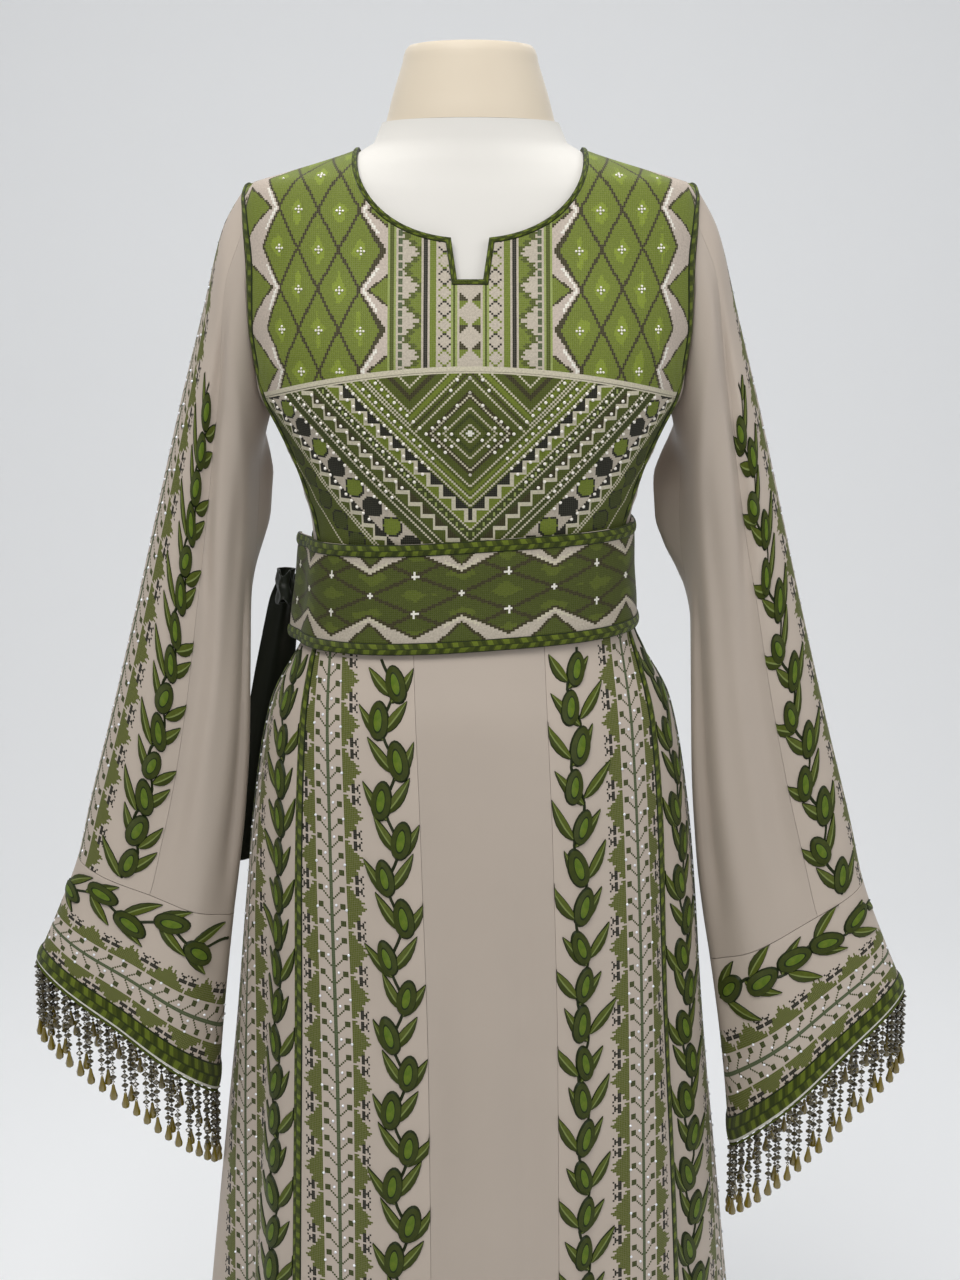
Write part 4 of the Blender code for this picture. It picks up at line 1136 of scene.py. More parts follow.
# Where the points of a leaf lie: shares of its half width, and of its length.
LEAF_COLUMNS = np.array([-1, -0.66, -0.12, 0.12, 0.66, 1])
LEAF_ROWS = np.array([0.07, 0.20, 0.36, 0.54, 0.72, 0.88, 0.96])


def laid(spot, a, b, lean, along, across, height):
    """Points of a motif that stands on (a, b) and leans from the vine's way."""
    place_a = a + along * math.sin(lean) + across * math.cos(lean)
    place_b = b + along * math.cos(lean) - across * math.sin(lean)
    return spot(place_a, place_b, height)


def leaf(soup, spot, a, b, lean, length, half, curl, light_side):
    """One satin-stitch leaf: dark outline, two halves of unlike green and a pale midrib."""
    wide = half * np.sin(np.pi * LEAF_ROWS**0.82) ** 0.8
    t, c = np.meshgrid(LEAF_ROWS, LEAF_COLUMNS, indexing="ij")
    outline = 0.0009 / np.maximum(wide, 0.0010)
    c = np.sign(c) * np.where(np.abs(c) == 0.66, 1 - np.minimum(outline[:, None], 0.5), np.abs(c))
    height = np.where(np.abs(c) > 0.99, SUNK, 0.0013 * np.sqrt(np.maximum(1 - c * c, 0)) + 0.0003)
    height = height - np.where(np.abs(c) < 0.2, 0.0003, 0.0)
    along = np.concatenate([[0.0], (length * t).ravel(), [length]])
    across = np.concatenate([[0.0], (wide[:, None] * c + curl * length * t * t).ravel(), [curl * length]])
    height = np.concatenate([[SUNK], height.ravel(), [SUNK]])
    top = laid(spot, a, b, lean, along, across, height)
    rows, columns = t.shape
    tip = 1 + rows * columns
    faces, slots = [], []
    tones = (0, 1, 2, 3, 0) if light_side > 0 else (0, 3, 2, 1, 0)
    for j in range(columns - 1):
        steps = [1 + i * columns + j for i in range(rows)]
        faces.append((0, j + 2, j + 1))
        faces += [(k, k + 1, k + 1 + columns, k + columns) for k in steps[:-1]]
        faces.append((steps[-1], steps[-1] + 1, tip))
        slots += [tones[j]] * rows + [0]
    left = [1 + i * columns for i in range(rows)]
    right = [columns + i * columns for i in range(rows)]
    rim = [0, *left, tip, *right[::-1]]
    closed_motif(soup, top, faces, rim, slots, np.stack([across, along], -1))


# Rings of an olive: share of its half width, height. The first two lie round its core.
OLIVE_RINGS = ((0.46, 0.0029), (0.55, 0.0027), (0.88, 0.0021), (1.0, SUNK))
OLIVE_TOP = 0.0030
OLIVE_SIDES = 20


def olive(soup, spot, a, b, lean, half_wide, half_long):
    """One satin-stitch olive: dark outline, green body, and a lime core with a dark line round it."""
    around = OLIVE_SIDES
    turn = np.linspace(0, 2 * np.pi, around, endpoint=False)
    along, across, height = [0.0], [0.0], [OLIVE_TOP]
    for reach, level in OLIVE_RINGS:
        narrow, long = (0.78, 1.12) if reach < 0.6 else (1.0, 1.0)
        across += list(half_wide * reach * narrow * np.sin(turn) * (1 - 0.10 * np.cos(turn)))
        along += list(half_long * reach * long * np.cos(turn))
        height += [level] * around
    along, across = np.array(along), np.array(across)
    top = laid(spot, a, b, lean, along, across, np.array(height))
    faces, slots = [], []
    for k in range(around):
        e = (k + 1) % around
        faces.append((1 + e, 1 + k, 0))
        for q in (1, 1 + around, 1 + 2 * around):
            faces.append((q + e, q + around + e, q + around + k, q + k))
        slots += [5, 0, 4, 0]
    rim = [1 + 3 * around + k for k in range(around)]
    closed_motif(soup, top, faces, rim, slots, np.stack([across, along], -1))


def stem_line(b):
    return VINE_SWAY * np.sin(2 * np.pi * b / VINE_WAVE)


# A vine's sprigs: an olive between two leaves, the sprigs leaning to one side and the other in turn.
STEM_HALF = 0.0017
SPRIG_STEP = 0.0330
LEAF_LONG = 0.0372
LEAF_HALF = 0.0055
LEAF_LEAST = 0.0140  # a leaf that would be shorter at the vine's end is left out
SECOND_LEAF_DOWN = 0.0060
SECOND_LEAF_HALF = 0.0053
OLIVE_UP = 0.0105
OLIVE_ASIDE = 0.0036
OLIVE_HALF = 0.0092


def vine(name, spot, start, stop, m, chance):
    """A vine between two places along its strip: a swaying stem, leaves and olives in turn."""
    soup = Soup()
    count = max(int((stop - start) / 0.005), 2)
    b = np.linspace(start, stop, count)
    slope = np.gradient(stem_line(b), b)
    points = []
    for offset, level in ((-STEM_HALF, SUNK), (0.0, 0.0012), (STEM_HALF, SUNK)):
        scale = offset / np.sqrt(1 + slope**2)
        points.append(spot(stem_line(b) + scale, b - scale * slope, np.full(count, level)))
    top = np.concatenate(points)
    faces = []
    for k in range(count - 1):
        for p, q in ((0, count), (count, 2 * count), (2 * count, 0)):
            faces.append((p + k, q + k, q + k + 1, p + k + 1))
    faces += [(0, 2 * count, count), (count - 1, 2 * count - 1, 3 * count - 1)]
    out = top[count] - (top[0] + top[2 * count]) / 2
    if np.dot(np.cross(top[count] - top[0], top[1] - top[0]), out) < 0:
        faces = [face[::-1] for face in faces]
    uv = np.concatenate([np.stack([0 * b + o, b], -1) for o in (-0.0014, 0, 0.0014)])
    soup.add(top, faces, uv)
    side = 1 if chance.uniform() < 0.5 else -1
    b = start + 0.006
    while b < stop - 0.008:
        wobble = chance.uniform(-1, 1, 6)
        reach = LEAF_LONG + 0.0030 * wobble[0]
        long = min(reach, stop - b)
        if long > LEAF_LEAST:
            lean = -side * (0.80 + 0.08 * wobble[1])
            curl = side * (0.20 + 0.08 * wobble[3])
            leaf(soup, spot, stem_line(b), b, lean, long, LEAF_HALF, curl, side)
        grain = b + OLIVE_UP
        if grain + 0.016 < stop:
            lean = side * (0.24 + 0.10 * wobble[2]) * (1 if wobble[3] > -0.4 else -0.6)
            half = OLIVE_HALF + 0.0006 * wobble[4]
            olive(soup, spot, stem_line(grain) + side * OLIVE_ASIDE, grain, lean, half, half * 1.85)
        low = b - SECOND_LEAF_DOWN
        long = min(reach, stop - low)
        if long > LEAF_LEAST:
            lean = side * (0.84 + 0.08 * wobble[5])
            curl = -side * (0.20 + 0.08 * wobble[4])
            leaf(soup, spot, stem_line(low), low, lean, long, SECOND_LEAF_HALF, curl, -side)
        side = -side
        b += SPRIG_STEP + 0.0016 * wobble[2]
    names = ("stem", "leaf", "vein", "leaf_light", "olive", "core")
    return soup.mesh(name, [m[word] for word in names], 40)


def beads(name, points, normals, size, material):
    """Small faceted beads sewn on cloth."""
    soup = Soup()
    for point, normal in zip(points, normals):
        axis = np.cross(normal, (0.31, 0.22, 0.92))
        axis /= np.linalg.norm(axis)
        other = np.cross(normal, axis)
        ring = []
        for reach, level, skew in ((0.86, -0.10, 0), (1.0, 0.45, 0.5), (0.55, 0.95, 0)):
            for k in range(6):
                turn = math.pi / 3 * (k + skew)
                way = axis * math.cos(turn) + other * math.sin(turn)
                ring.append(point + (way * reach + normal * level) * size)
        faces = [(5, 4, 3, 2, 1, 0), (12, 13, 14, 15, 16, 17)]
        for k in range(6):
            e = (k + 1) % 6
            faces += [(k, e, 6 + e, 6 + k), (6 + k, 6 + e, 12 + e, 12 + k)]
        soup.add(ring, faces)
    return soup.mesh(name, [material], 20)


def bodice_spots(u, v):
    """Points and normals on the front of the bodice at cloth coordinates."""
    u, v = np.asarray(u, float), np.asarray(v, float)
    x, z = u * 0.93, v.copy()
    for _ in range(14):
        x = np.clip(x, -0.180, 0.180)
        z = np.clip(z, 1.070, 1.43)
        edge = table_curve(BODY, 1, z) * 0.985
        x = np.clip(x, -edge, edge)
        found = bodice_uv(z, x + 1e-7, False)
        x = x + 0.8 * (u - found[..., 0])
        z = z + 0.8 * (v - found[..., 1])
    miss = np.hypot(u - found[..., 0], v - found[..., 1])
    angle = angle_at(BODY, x, z)
    return body_cloth(z, angle), outward(body, z, angle), miss < 0.0015


def turned_faces(faces, side):
    return faces if side > 0 else [face[::-1] for face in faces]


def form_ring(z, angle):
    """A ring of the dress form: the cloth's inside, less the ease."""
    z = z + 0 * angle
    ease = 0.0014 + 0.0017 * smooth(1.425, 1.405, z)
    ease = ease + 0.0006 * smooth(1.40, 1.33, z) * smooth(1.0, 1.1, z)
    return body(z, angle) - outward(body, z, angle) * (CLOTH + GAP + ease)[:, None]


def ringed(name, rings, uv_scale, material):
    """A closed body through rings, with a fan at each end. Its uv is (turn, height)."""
    rings = np.array(rings)
    rows, count = rings.shape[:2]
    points = rings.reshape(-1, 3)
    r, c = np.meshgrid(np.arange(rows - 1), np.arange(count), indexing="ij")
    a, b = (r * count + c).ravel(), (r * count + (c + 1) % count).ravel()
    faces = np.stack([a, b, b + count, a + count], 1).tolist()
    uv = np.stack([np.arctan2(points[:, 0], -points[:, 1]) * uv_scale, points[:, 2]], -1)
    low, high, top = len(points), len(points) + 1, (rows - 1) * count
    points = np.concatenate([points, [rings[0].mean(0), rings[-1].mean(0)]])
    uv = np.concatenate([uv, [[0, 0], [0, 0]]])
    pairs = [(c, (c + 1) % count) for c in range(count)]
    faces += [(e, c, low) for c, e in pairs] + [(top + c, top + e, high) for c, e in pairs]
    return add_mesh(name, points, faces, uv, [material], sharp=40)


def form_pieces(m):
    """The torso, with a flat underside, and the cap of its neck, with a rounded upper edge."""

    def level(ring, z, share=1.0):
        ring = ring * np.array([share, share, 1])
        ring[:, 2] = z
        return ring

    count = 120
    angle = np.linspace(0, 2 * np.pi, count, endpoint=False)
    rings = [form_ring(z, angle) for z in [*np.linspace(0.802, 1.438, 90), 1.447]]
    rings = [level(rings[0], 0.792, 0.93), level(rings[0], 0.802), *rings[1:-1], level(rings[-1], 1.4520)]
    made = {"form_torso": ringed("form_torso", rings, 0.1, m["canvas"])}
    rings = [form_ring(z, angle) for z in np.linspace(1.455, 1.502, 12)]
    rings[0][:, 2] = 1.4523
    edge = level(rings[-1], 1.5110, 0.955)
    shoulder = (rings[-1] + edge) / 2 + (rings[-1] - edge) * np.array([0.18, 0.18, 0])
    flat = level(edge, 1.5150, 0.88)
    near = level((edge + flat) / 2 + (edge - flat) * np.array([0.1, 0.1, 0]), 1.5142)
    rings += [shoulder, edge, near, flat]
    made["form_neck_cap"] = ringed("form_neck_cap", rings, 0.06, m["cap"])
    return made


# ---------------------------------------------------------------- materials


def feed(tree, value, socket):
    """Links a Value or a colour so far to an input, or sets the input's own constant."""
    value = value.socket if isinstance(value, Value) else value
    if isinstance(value, bpy.types.NodeSocket):
        tree.links.new(value, socket)
    else:
        socket.default_value = (*value, 1) if isinstance(value, tuple) else float(value)


def by(kind):
    """A method that runs one kind of Math node."""
    return lambda self, *others: self.math(kind, *others)


class Value:
    """A number of a material, worked out by Math nodes. Masks are 0 or 1."""

    def __init__(self, tree, socket):
        self.tree = tree
        self.socket = socket

    def math(self, kind, *others):
        node = self.tree.nodes.new("ShaderNodeMath")
        node.operation = kind
        for slot, value in zip(node.inputs, (self, *others)):
            feed(self.tree, value, slot)
        return Value(self.tree, node.outputs[0])

    __add__ = __radd__ = by("ADD")
    __sub__ = by("SUBTRACT")
    __mul__ = __rmul__ = __and__ = by("MULTIPLY")
    __truediv__ = by("DIVIDE")
    __or__ = most = by("MAXIMUM")
    __lt__ = by("LESS_THAN")
    __gt__ = by("GREATER_THAN")
    least = by("MINIMUM")
    power = by("POWER")
    floor = by("FLOOR")
    abs = by("ABSOLUTE")
    sin = by("SINE")
    mod = by("FLOORED_MODULO")
    fold = by("PINGPONG")  # distance from the nearest even multiple of a number: straight slopes

    def __rsub__(self, other):
        return self.math("MULTIPLY", -1).math("ADD", other)

    def constant(self, number):
        return self.math("MULTIPLY", 0).math("ADD", number)

    def near(self, middle, half):
        """1 within half of middle."""
        return (self - middle).abs() < half

    def within(self, low, high):
        return (self > low) & (self < high)


class Cloth:
    """A material in the making: its place on the cloth and its colour so far."""

    def __init__(self, name, colour, roughness, sheen=0.0, coat=0.0, specular=0.18):
        self.material = bpy.data.materials.new(name)
        self.material.use_nodes = True
        self.material.diffuse_color = (*colour, 1)
        self.tree = self.material.node_tree
        self.shader = self.tree.nodes["Principled BSDF"]
        inputs = {
            "Base Color": colour,
            "Roughness": roughness,
            "Sheen Weight": sheen,
            "Sheen Roughness": 0.45,
            "Coat Weight": coat,
            "Specular IOR Level": specular,
        }
        for word, value in inputs.items():
            feed(self.tree, value, self.shader.inputs[word])
        self.colour = colour
        uv = self.tree.nodes.new("ShaderNodeUVMap")
        uv.uv_map = "cloth"
        self.place = uv.outputs[0]
        split = self.tree.nodes.new("ShaderNodeSeparateXYZ")
        feed(self.tree, self.place, split.inputs[0])
        self.u, self.v = (Value(self.tree, split.outputs[i]) for i in (0, 1))

    def noise(self, scale, detail=2.0):
        """Uneven grey from 0 to 1 over the cloth."""
        node = self.tree.nodes.new("ShaderNodeTexNoise")
        for word, value in (("Scale", scale), ("Detail", detail), ("Vector", self.place)):
            feed(self.tree, value, node.inputs[word])
        return Value(self.tree, node.outputs[0])

    def paint(self, *layers):
        """Lays the colour of each (mask, colour) over the colour so far, where its mask is 1."""
        for mask, colour in layers:
            mix = self.tree.nodes.new("ShaderNodeMix")
            mix.data_type = "RGBA"
            for value, slot in ((mask, 0), (self.colour, 6), (colour, 7)):
                feed(self.tree, value, mix.inputs[slot])
            self.colour = mix.outputs[2]

    def shade(self, amount):
        """Makes the colour darker or lighter by a factor."""
        node = self.tree.nodes.new("ShaderNodeHueSaturation")
        feed(self.tree, amount, node.inputs["Value"])
        feed(self.tree, self.colour, node.inputs["Color"])
        self.colour = node.outputs[0]

    def finish(self, height=None, depth=0.0003, strength=0.5):
        feed(self.tree, self.colour, self.shader.inputs["Base Color"])
        if height is not None:
            bump = self.tree.nodes.new("ShaderNodeBump")
            for word, value in (("Strength", strength), ("Distance", depth), ("Height", height)):
                feed(self.tree, value, bump.inputs[word])
            feed(self.tree, bump.outputs[0], self.shader.inputs["Normal"])
        return self.material


GREIGE = (0.430, 0.366, 0.308)
GROUND = (0.470, 0.402, 0.340)
LINING = (0.300, 0.258, 0.215)
CREAM_GROUND = (0.440, 0.390, 0.315)
CREAM = (0.520, 0.480, 0.360)
WHITE = (0.720, 0.700, 0.620)
LIME = (0.190, 0.250, 0.020)
LEAF = (0.130, 0.170, 0.015)
OLIVE = (0.062, 0.080, 0.007)
MOSS = (0.036, 0.048, 0.005)
SAGE = (0.066, 0.090, 0.038)
DARK = (0.014, 0.021, 0.005)
BROWN = (0.034, 0.030, 0.008)
INK = (0.012, 0.013, 0.007)
PALE = (0.250, 0.300, 0.085)
TREE_GREEN = (0.082, 0.098, 0.008)
BELT_GREEN = (0.052, 0.068, 0.006)
BELT_LIGHT = (0.080, 0.105, 0.009)
BELT_TOOTH = (0.056, 0.074, 0.007)


def waves(value, length):
    """A sine wave of threads from -1 to 1."""
    return (value * (2 * math.pi / length)).sin()


def plain_cloth(name, colour):
    """Crepe satin: a fine twill and a soft unevenness."""
    cloth = Cloth(name, colour, 0.50, sheen=0.12, specular=0.45)
    cloth.shade(0.96 + 0.08 * cloth.noise(9, 3))
    return cloth.finish(waves(cloth.u + cloth.v, 0.0011) * 0.5 + cloth.noise(900, 1), 0.00006, 0.35)


def stitch_grid(cloth, pitch, middle_u, middle_v):
    """Whole stitch numbers across and along, and the cross and the open edge of each stitch."""
    a = (cloth.u - middle_u) / pitch
    b = (cloth.v - middle_v) / pitch
    x, y = a.floor(), b.floor()
    p, q = (a - x - 0.5).abs(), (b - y - 0.5).abs()
    return x, y, 1 - (p - q).abs() * 1.6, p.most(q) > 0.40


def bits(cloth, x, y, rows):
    """Mask of a small chart. Each row is text, read from its left at x = 0, and row 0 is at y = 0."""
    ramp = cloth.tree.nodes.new("ShaderNodeValToRGB")
    ramp.color_ramp.interpolation = "CONSTANT"
    points = ramp.color_ramp.elements
    count = len(rows)
    for k, row in enumerate(rows):
        number = float(sum(2**i for i, mark in enumerate(row) if mark not in ". "))
        point = points[k] if k < 2 else points.new(k / count)
        point.position = k / count
        point.color = (number, number, number, 1)
    feed(cloth.tree, (y + 0.5) / count, ramp.inputs[0])
    split = cloth.tree.nodes.new("ShaderNodeSeparateColor")
    feed(cloth.tree, ramp.outputs[0], split.inputs[0])
    power = x.most(0).least(20)
    two = power.constant(2.0).power(power)
    bit = (Value(cloth.tree, split.outputs[0]) / two + 1e-4).floor().mod(2)
    return bit & x.within(-0.5, max(len(row) for row in rows) - 0.5)


# A tree of the cross-stitch band, row by row: how many stitches it reaches from its straight side.
TREE = (0, 2, 4, 4, 3, 5, 7, 7, 6, 8, 8, 10, 11, 9, 8, 10, 8, 7, 5, 6, 4, 4, 2, 3)
TREE_REPEAT = len(TREE)
LINE_REPEAT = 9  # stitches from one pair of arms of the band's middle line to the next
ARROW = ("##..#", "##.#.", "####.", "##.#.", "##..#")


def chart_rows():
    """Charts of the trees and of the arrows between them, one text row per row of stitches."""
    trees = ["#" * reach for reach in TREE]
    arrows = ["."] + ["....." + row for row in ARROW] + ["."] * 13 + ["....." + row for row in ARROW[::-1]]
    return trees, arrows


def feather_band(cloth, m, b):
    """Masks of the cross-stitch band: m is stitches from its middle and b is stitches along it."""
    rise = b.mod(LINE_REPEAT)
    arm = ((b - m).mod(LINE_REPEAT) < 0.5) & m.within(0.5, 5.5)
    knot = m.within(4.5, 7.5) & rise.within(4.5, 7.5)
    tree, arrow = (bits(cloth, m - TREE_FROM, b.mod(TREE_REPEAT), rows) for rows in chart_rows())
    return arm | knot, m < 0.6, tree, arrow


def embroidered(name, middle, flipped=False):
    """A gore, sleeve band or cuff: ground cloth with the cross-stitch band drawn on it."""
    cloth = Cloth(name, GROUND, 0.62, sheen=0.06)
    if flipped:
        cloth.u, cloth.v = cloth.v, cloth.u
    x, y, cross, edge = stitch_grid(cloth, STITCH, middle, 0.0)
    line, stem, tree, arrows = feather_band(cloth, (x + 0.5).abs() - 0.5, y)
    cloth.shade(0.95 + 0.1 * cloth.noise(12, 2))
    cloth.paint((line, MOSS), (stem, SAGE), (tree, TREE_GREEN), ((edge & tree) * 0.10, GROUND), (arrows, INK))
    stitched = (line | tree) | (arrows | stem)
    cloth.paint(((edge & stitched) * 0.12, GROUND))
    fibre = 0.70 + 0.60 * cloth.noise(600, 1)
    cloth.shade((stitched * (fibre - 1)) + 1)
    return cloth.finish(stitched * (0.6 + 0.4 * cross), 0.0006, 0.6)


def lattice(x, y, half_x, half_y):
    """Depth inside a lattice of diamonds: 0 on its lines and 1 at each diamond's middle."""
    p = x.fold(half_x) / half_x
    q = y.fold(half_y) / half_y
    return (p + q - 1).abs()


def diamonds(cloth, x, y, half_x, half_y, mask, main, light, line=0.075):
    """Paints a lattice of diamonds, uneven and a little lighter at each middle, where the mask is 1."""
    depth = lattice(x, y, half_x, half_y)
    glow = depth + cloth.noise(55, 3) * 1.2 > 1.25
    cloth.paint((mask, main), (mask & glow, light), (mask & (depth < line), BROWN))


def dense_finish(cloth, stitched, cross, edge, show):
    """The weave that shows between dense stitches, uneven thread and the relief of the crosses."""
    cloth.paint(((edge & stitched) * show, GROUND))
    cloth.shade(0.72 + 0.56 * cloth.noise(620, 1))
    return cloth.finish(stitched * (0.6 + 0.4 * cross), 0.0006, 0.6)


def seam_line(cloth):
    """The chest seam's height on the cloth, at the distance u from the centre."""
    square = cloth.u * cloth.u
    return SEAM_V[0] + square * SEAM_V[1] + square * square * SEAM_V[2]


def yoke_cloth():
    """A lattice of diamonds with a zigzag edge on each side, and the stripes of the placket between them."""
    cloth = Cloth("yoke_stitches", GROUND, 0.62, sheen=0.05)
    x, y, cross, edge = stitch_grid(cloth, DENSE, 0.0, LATTICE_V)
    m = (x + 0.5).abs() - 0.5
    inner = m - LATTICE_FROM
    fall = y.fold(LATTICE_Y) / LATTICE_Y
    # The lattice's own edge, the cream zigzag beside it and the half diamonds beyond, towards the placket.
    border = inner + LATTICE_EDGE - LATTICE_EDGE * fall
    outer = LATTICE_TO + LATTICE_X * (1 - fall) - m
    inside = (border > 0) & (outer > 0)
    diamonds(cloth, inner, y, LATTICE_X, LATTICE_Y, inside, LEAF, LIME)
    zigzag = (border.within(-2.2, -0.9) | outer.within(-2.2, -0.9)) & (fall > 0.45)
    level = (LATTICE_Y - y.fold(LATTICE_Y)) * 1.2
    half = ((LATTICE_FROM - 3.4 - m) - level) & (m > 38.0)
    far = (m - (LATTICE_TO + 3.4)) - level
    tooth = (half > 0) | (far > 0)
    cloth.paint(
        (inside & ((border < 1.5) | (outer < 1.5)), BROWN),
        (zigzag, WHITE),
        (tooth, LEAF),
        (tooth & (half.within(0, 1.7) | far.within(0, 1.7)), BROWN),
    )
    # Stripes of the placket, by their distance from the centre.
    pair = (m > (y + 0.5).fold(6) - 0.4) & m.within(0.5, 4.6)
    wide = y.mod(24) < 12
    saltire = ((m - 11.5).abs() - (y + 0.5).fold(4)).abs() < 1.0
    saltire = saltire & m.within(8.6, 14.4)
    reach = 8.5 - (y.mod(17) - 8).abs() * 0.9 + (y.mod(3) < 0.5) * 2.0
    side = m - 22.5
    cloth.paint(
        (m < 38.4, CREAM_GROUND),
        (pair & wide, BROWN),
        (pair & (1 - wide), LEAF),
        (m.within(5.5, 8.5), PALE),
        (m.within(6.4, 7.6), OLIVE),
        (saltire & (y.mod(16) < 8), INK),
        (saltire & (y.mod(16) > 7.5), LEAF),
        (m.within(15.4, 18.4), LEAF),
        (m.within(19.4, 21.4), INK),
        (side.within(0, 9.5) & (side < reach), OLIVE),
        (side.within(0, 6.5) & (side < reach - 3), LEAF),
        (m.near(32.5, 0.6) & (y.mod(4) < 2.5), SAGE),
        (m.within(34.5, 38.4), PALE),
        (m.within(35.6, 37.4), OLIVE),
        (cloth.v - seam_line(cloth) < 0.0043, CREAM),
    )
    return dense_finish(cloth, x.constant(1.0), cross, edge, 0.13)


def chest_cloth():
    """Nested diamonds at the middle, bands of stepped triangles at 45 degrees, and leaves at the sides."""
    cloth = Cloth("chest_stitches", OLIVE, 0.62, sheen=0.05)
    x, y, cross, edge = stitch_grid(cloth, DENSE, 0.0, CHEST_MID_V)
    m = (x + 0.5).abs() - 0.5
    n = y + 0.0
    down = m - n
    up = m + n
    checker = (m + n).mod(2) < 0.5

    def checked(value, *spans):
        """Rows of cream checks between each low and high."""
        return [(value.within(low, high) & checker, CREAM) for low, high in spans]

    # Bands that run down towards the centre.
    cloth.paint(
        (down.within(27.5, 35.5), OLIVE),
        (down.within(28.5, 30.5) | down.within(32.5, 34.5), LEAF),
        *checked(down, (24.5, 26.5), (30.5, 32.5), (35.5, 37.5)),
    )
    for start, upper, lower in ((38, INK, LEAF), (57, BROWN, OLIVE), (93, INK, OLIVE)):
        zone = down.within(start - 0.5, start + 9.5)
        stair = down - start - 1.5 - (up + 0.5).fold(6)
        cloth.paint((zone & (stair < 0), upper), (zone & (stair > 0), lower))
        cloth.paint((zone & (stair.abs() < 1.2), CREAM))
    for start in (48, 53, 67, 72):
        cloth.paint((down.within(start - 0.5, start + 4.5), MOSS), *checked(down, (start - 0.5, start + 1.5)))
    # A chain of leaves outside them, and a second one at the side.
    chain = down.within(77.5, 92.5)
    leaves = (up.mod(19) - 9.5).abs() / 8.2 + ((down - 85).abs() / 8.0).power(2)
    second = down > 101.5
    others = ((up + 9).mod(19) - 9.5).abs() / 8.6 + ((down - 113).abs() / 8.0).power(2)
    cloth.paint(
        ((up.mod(5) < 1.5) & down.within(50.4, 52.5), PALE),
        (chain, CREAM_GROUND),
        (chain & (leaves < 1.0), INK),
        (chain & (leaves < 0.80) & (up.mod(38) > 19), LEAF),
        *checked(down, (101.5, 104.5)),
        (second & (others < 1.0), INK),
        (second & (others < 0.80), MOSS),
        *checked(down, (122.5, 125.5)),
    )
    # Above the first band: nested triangles that hang from the seam.
    top = (down < 24.5) & (up > 31.5)
    nest = (24.5 - down).least(up - 31.5)
    side = (down < 24.5) & up.within(20.5, 31.5)
    cloth.paint(
        (top, OLIVE),
        (top & nest.mod(6).within(-0.5, 1.5) & checker, CREAM),
        (top & nest.within(2, 5), LEAF),
        (top & nest.within(12, 15), BROWN),
        (side, OLIVE),
        (side & up.within(24.5, 27.5) & checker, CREAM),
        (side & up.within(28.5, 30), BROWN),
    )
    # The middle.
    middle = down.most(up).most((x.constant(0.0) - n) + m) < 20.5
    ring = m + n.abs()
    cloth.paint(
        (middle, OLIVE),
        (middle & ring.within(16.5, 20.5), BROWN),
        (middle & ring.within(17.5, 19.5) & checker, CREAM),
        (middle & ring.within(11.5, 13.5) & checker, CREAM),
        (middle & ring.within(7.5, 9.5), MOSS),
        (middle & ring.within(3.5, 5.5) & checker, CREAM),
        (middle & (ring < 1.5), WHITE),
        (cloth.v - seam_line(cloth) > -0.0012, CREAM),
    )
    return dense_finish(cloth, x.constant(1.0), cross, edge, 0.07)


def belt_cloth():
    """A row of diamonds with a zigzag edge, teeth above and below, and a white cross in each diamond."""
    cloth = Cloth("belt_stitches", CREAM_GROUND, 0.62, sheen=0.05)
    x, y, cross, edge = stitch_grid(cloth, DENSE, BELT_MID_U, BELT_MID_V)
    q = x.fold(BELT_X)
    rise = y.abs()
    border = BELT_Y + 1.2 + 10.9 * (q / BELT_X) - rise
    inside = border > 0
    diamonds(cloth, x, y + BELT_Y, BELT_X, BELT_Y, inside, BELT_GREEN, BELT_LIGHT, 0.10)
    tooth = (rise - BELT_Y - 3.8) - q * 0.85
    c = BELT_X - q
    d = (rise - BELT_Y).abs()
    plus = ((q < 0.6) & (rise < 1.7)) | ((q < 1.7) & (rise < 0.6))
    other = ((c < 0.6) & (d < 1.7)) | ((c < 1.7) & (d < 0.6))
    cloth.paint(
        (inside & (border < 1.6), BROWN),
        (border.within(-1.6, -0.3) & (q < 9), CREAM),
        (tooth > 0, BELT_TOOTH),
        (tooth.within(0, 1.7), BROWN),
        (plus | other, WHITE),
    )
    return dense_finish(cloth, x.constant(1.0), cross, edge, 0.07)


def satin_stitch(name, width, pale_at=None):
    """Satin stitch across a cord or braid: threads in uneven green patches, with painted shade down its
    middle, along both edges and between its threads. uv is (across, along).
    """
    cloth = Cloth(name, OLIVE, 0.50, sheen=0.05)
    half = cloth.u - width / 2
    row = (half > 0) * 0.0065
    patch = ((cloth.v + row + half.abs() * 0.5) / 0.0135 + cloth.noise(45, 1) * 0.8).mod(1)
    thread = waves(cloth.v + half.abs() * 0.5, 0.0010)
    # The dark line down the middle and the dark strips along both edges are painted shade: the groove between
    # the two rows of stitches and the cord's rounded sides.
    cloth.paint(
        (patch < 0.34, LEAF),
        (patch.within(0.62, 0.90), MOSS),
        ((half.abs() < 0.0004) * 0.7, DARK),
        (half.abs() > width / 2 - 0.0007, DARK),
    )
    if pale_at is not None:
        cloth.paint((cloth.u.near(pale_at, 0.0010), WHITE))
    # Painted light and shade on each thread: the colour follows the same wave that makes the bump. The noise
    # is uneven thread tone.
    cloth.shade(0.80 + 0.12 * thread + 0.35 * cloth.noise(260, 2))
    return cloth.finish(thread, 0.0004, 0.6)


def thread_satin(name, colour, other):
    """Satin stitch of a leaf or an olive: threads across the motif, with painted light and shade along each
    thread. uv is (across, along).
    """
    cloth = Cloth(name, colour, 0.48, sheen=0.03)
    thread = waves(cloth.v + cloth.u.abs() * 0.8, 0.0011)
    cloth.paint((cloth.noise(160, 2) * 1.4 - 0.3, other))
    # Painted light and shade on each thread: the colour follows the same wave that makes the bump.
    cloth.shade(0.86 + 0.16 * thread)
    return cloth.finish(thread, 0.0003, 0.5)


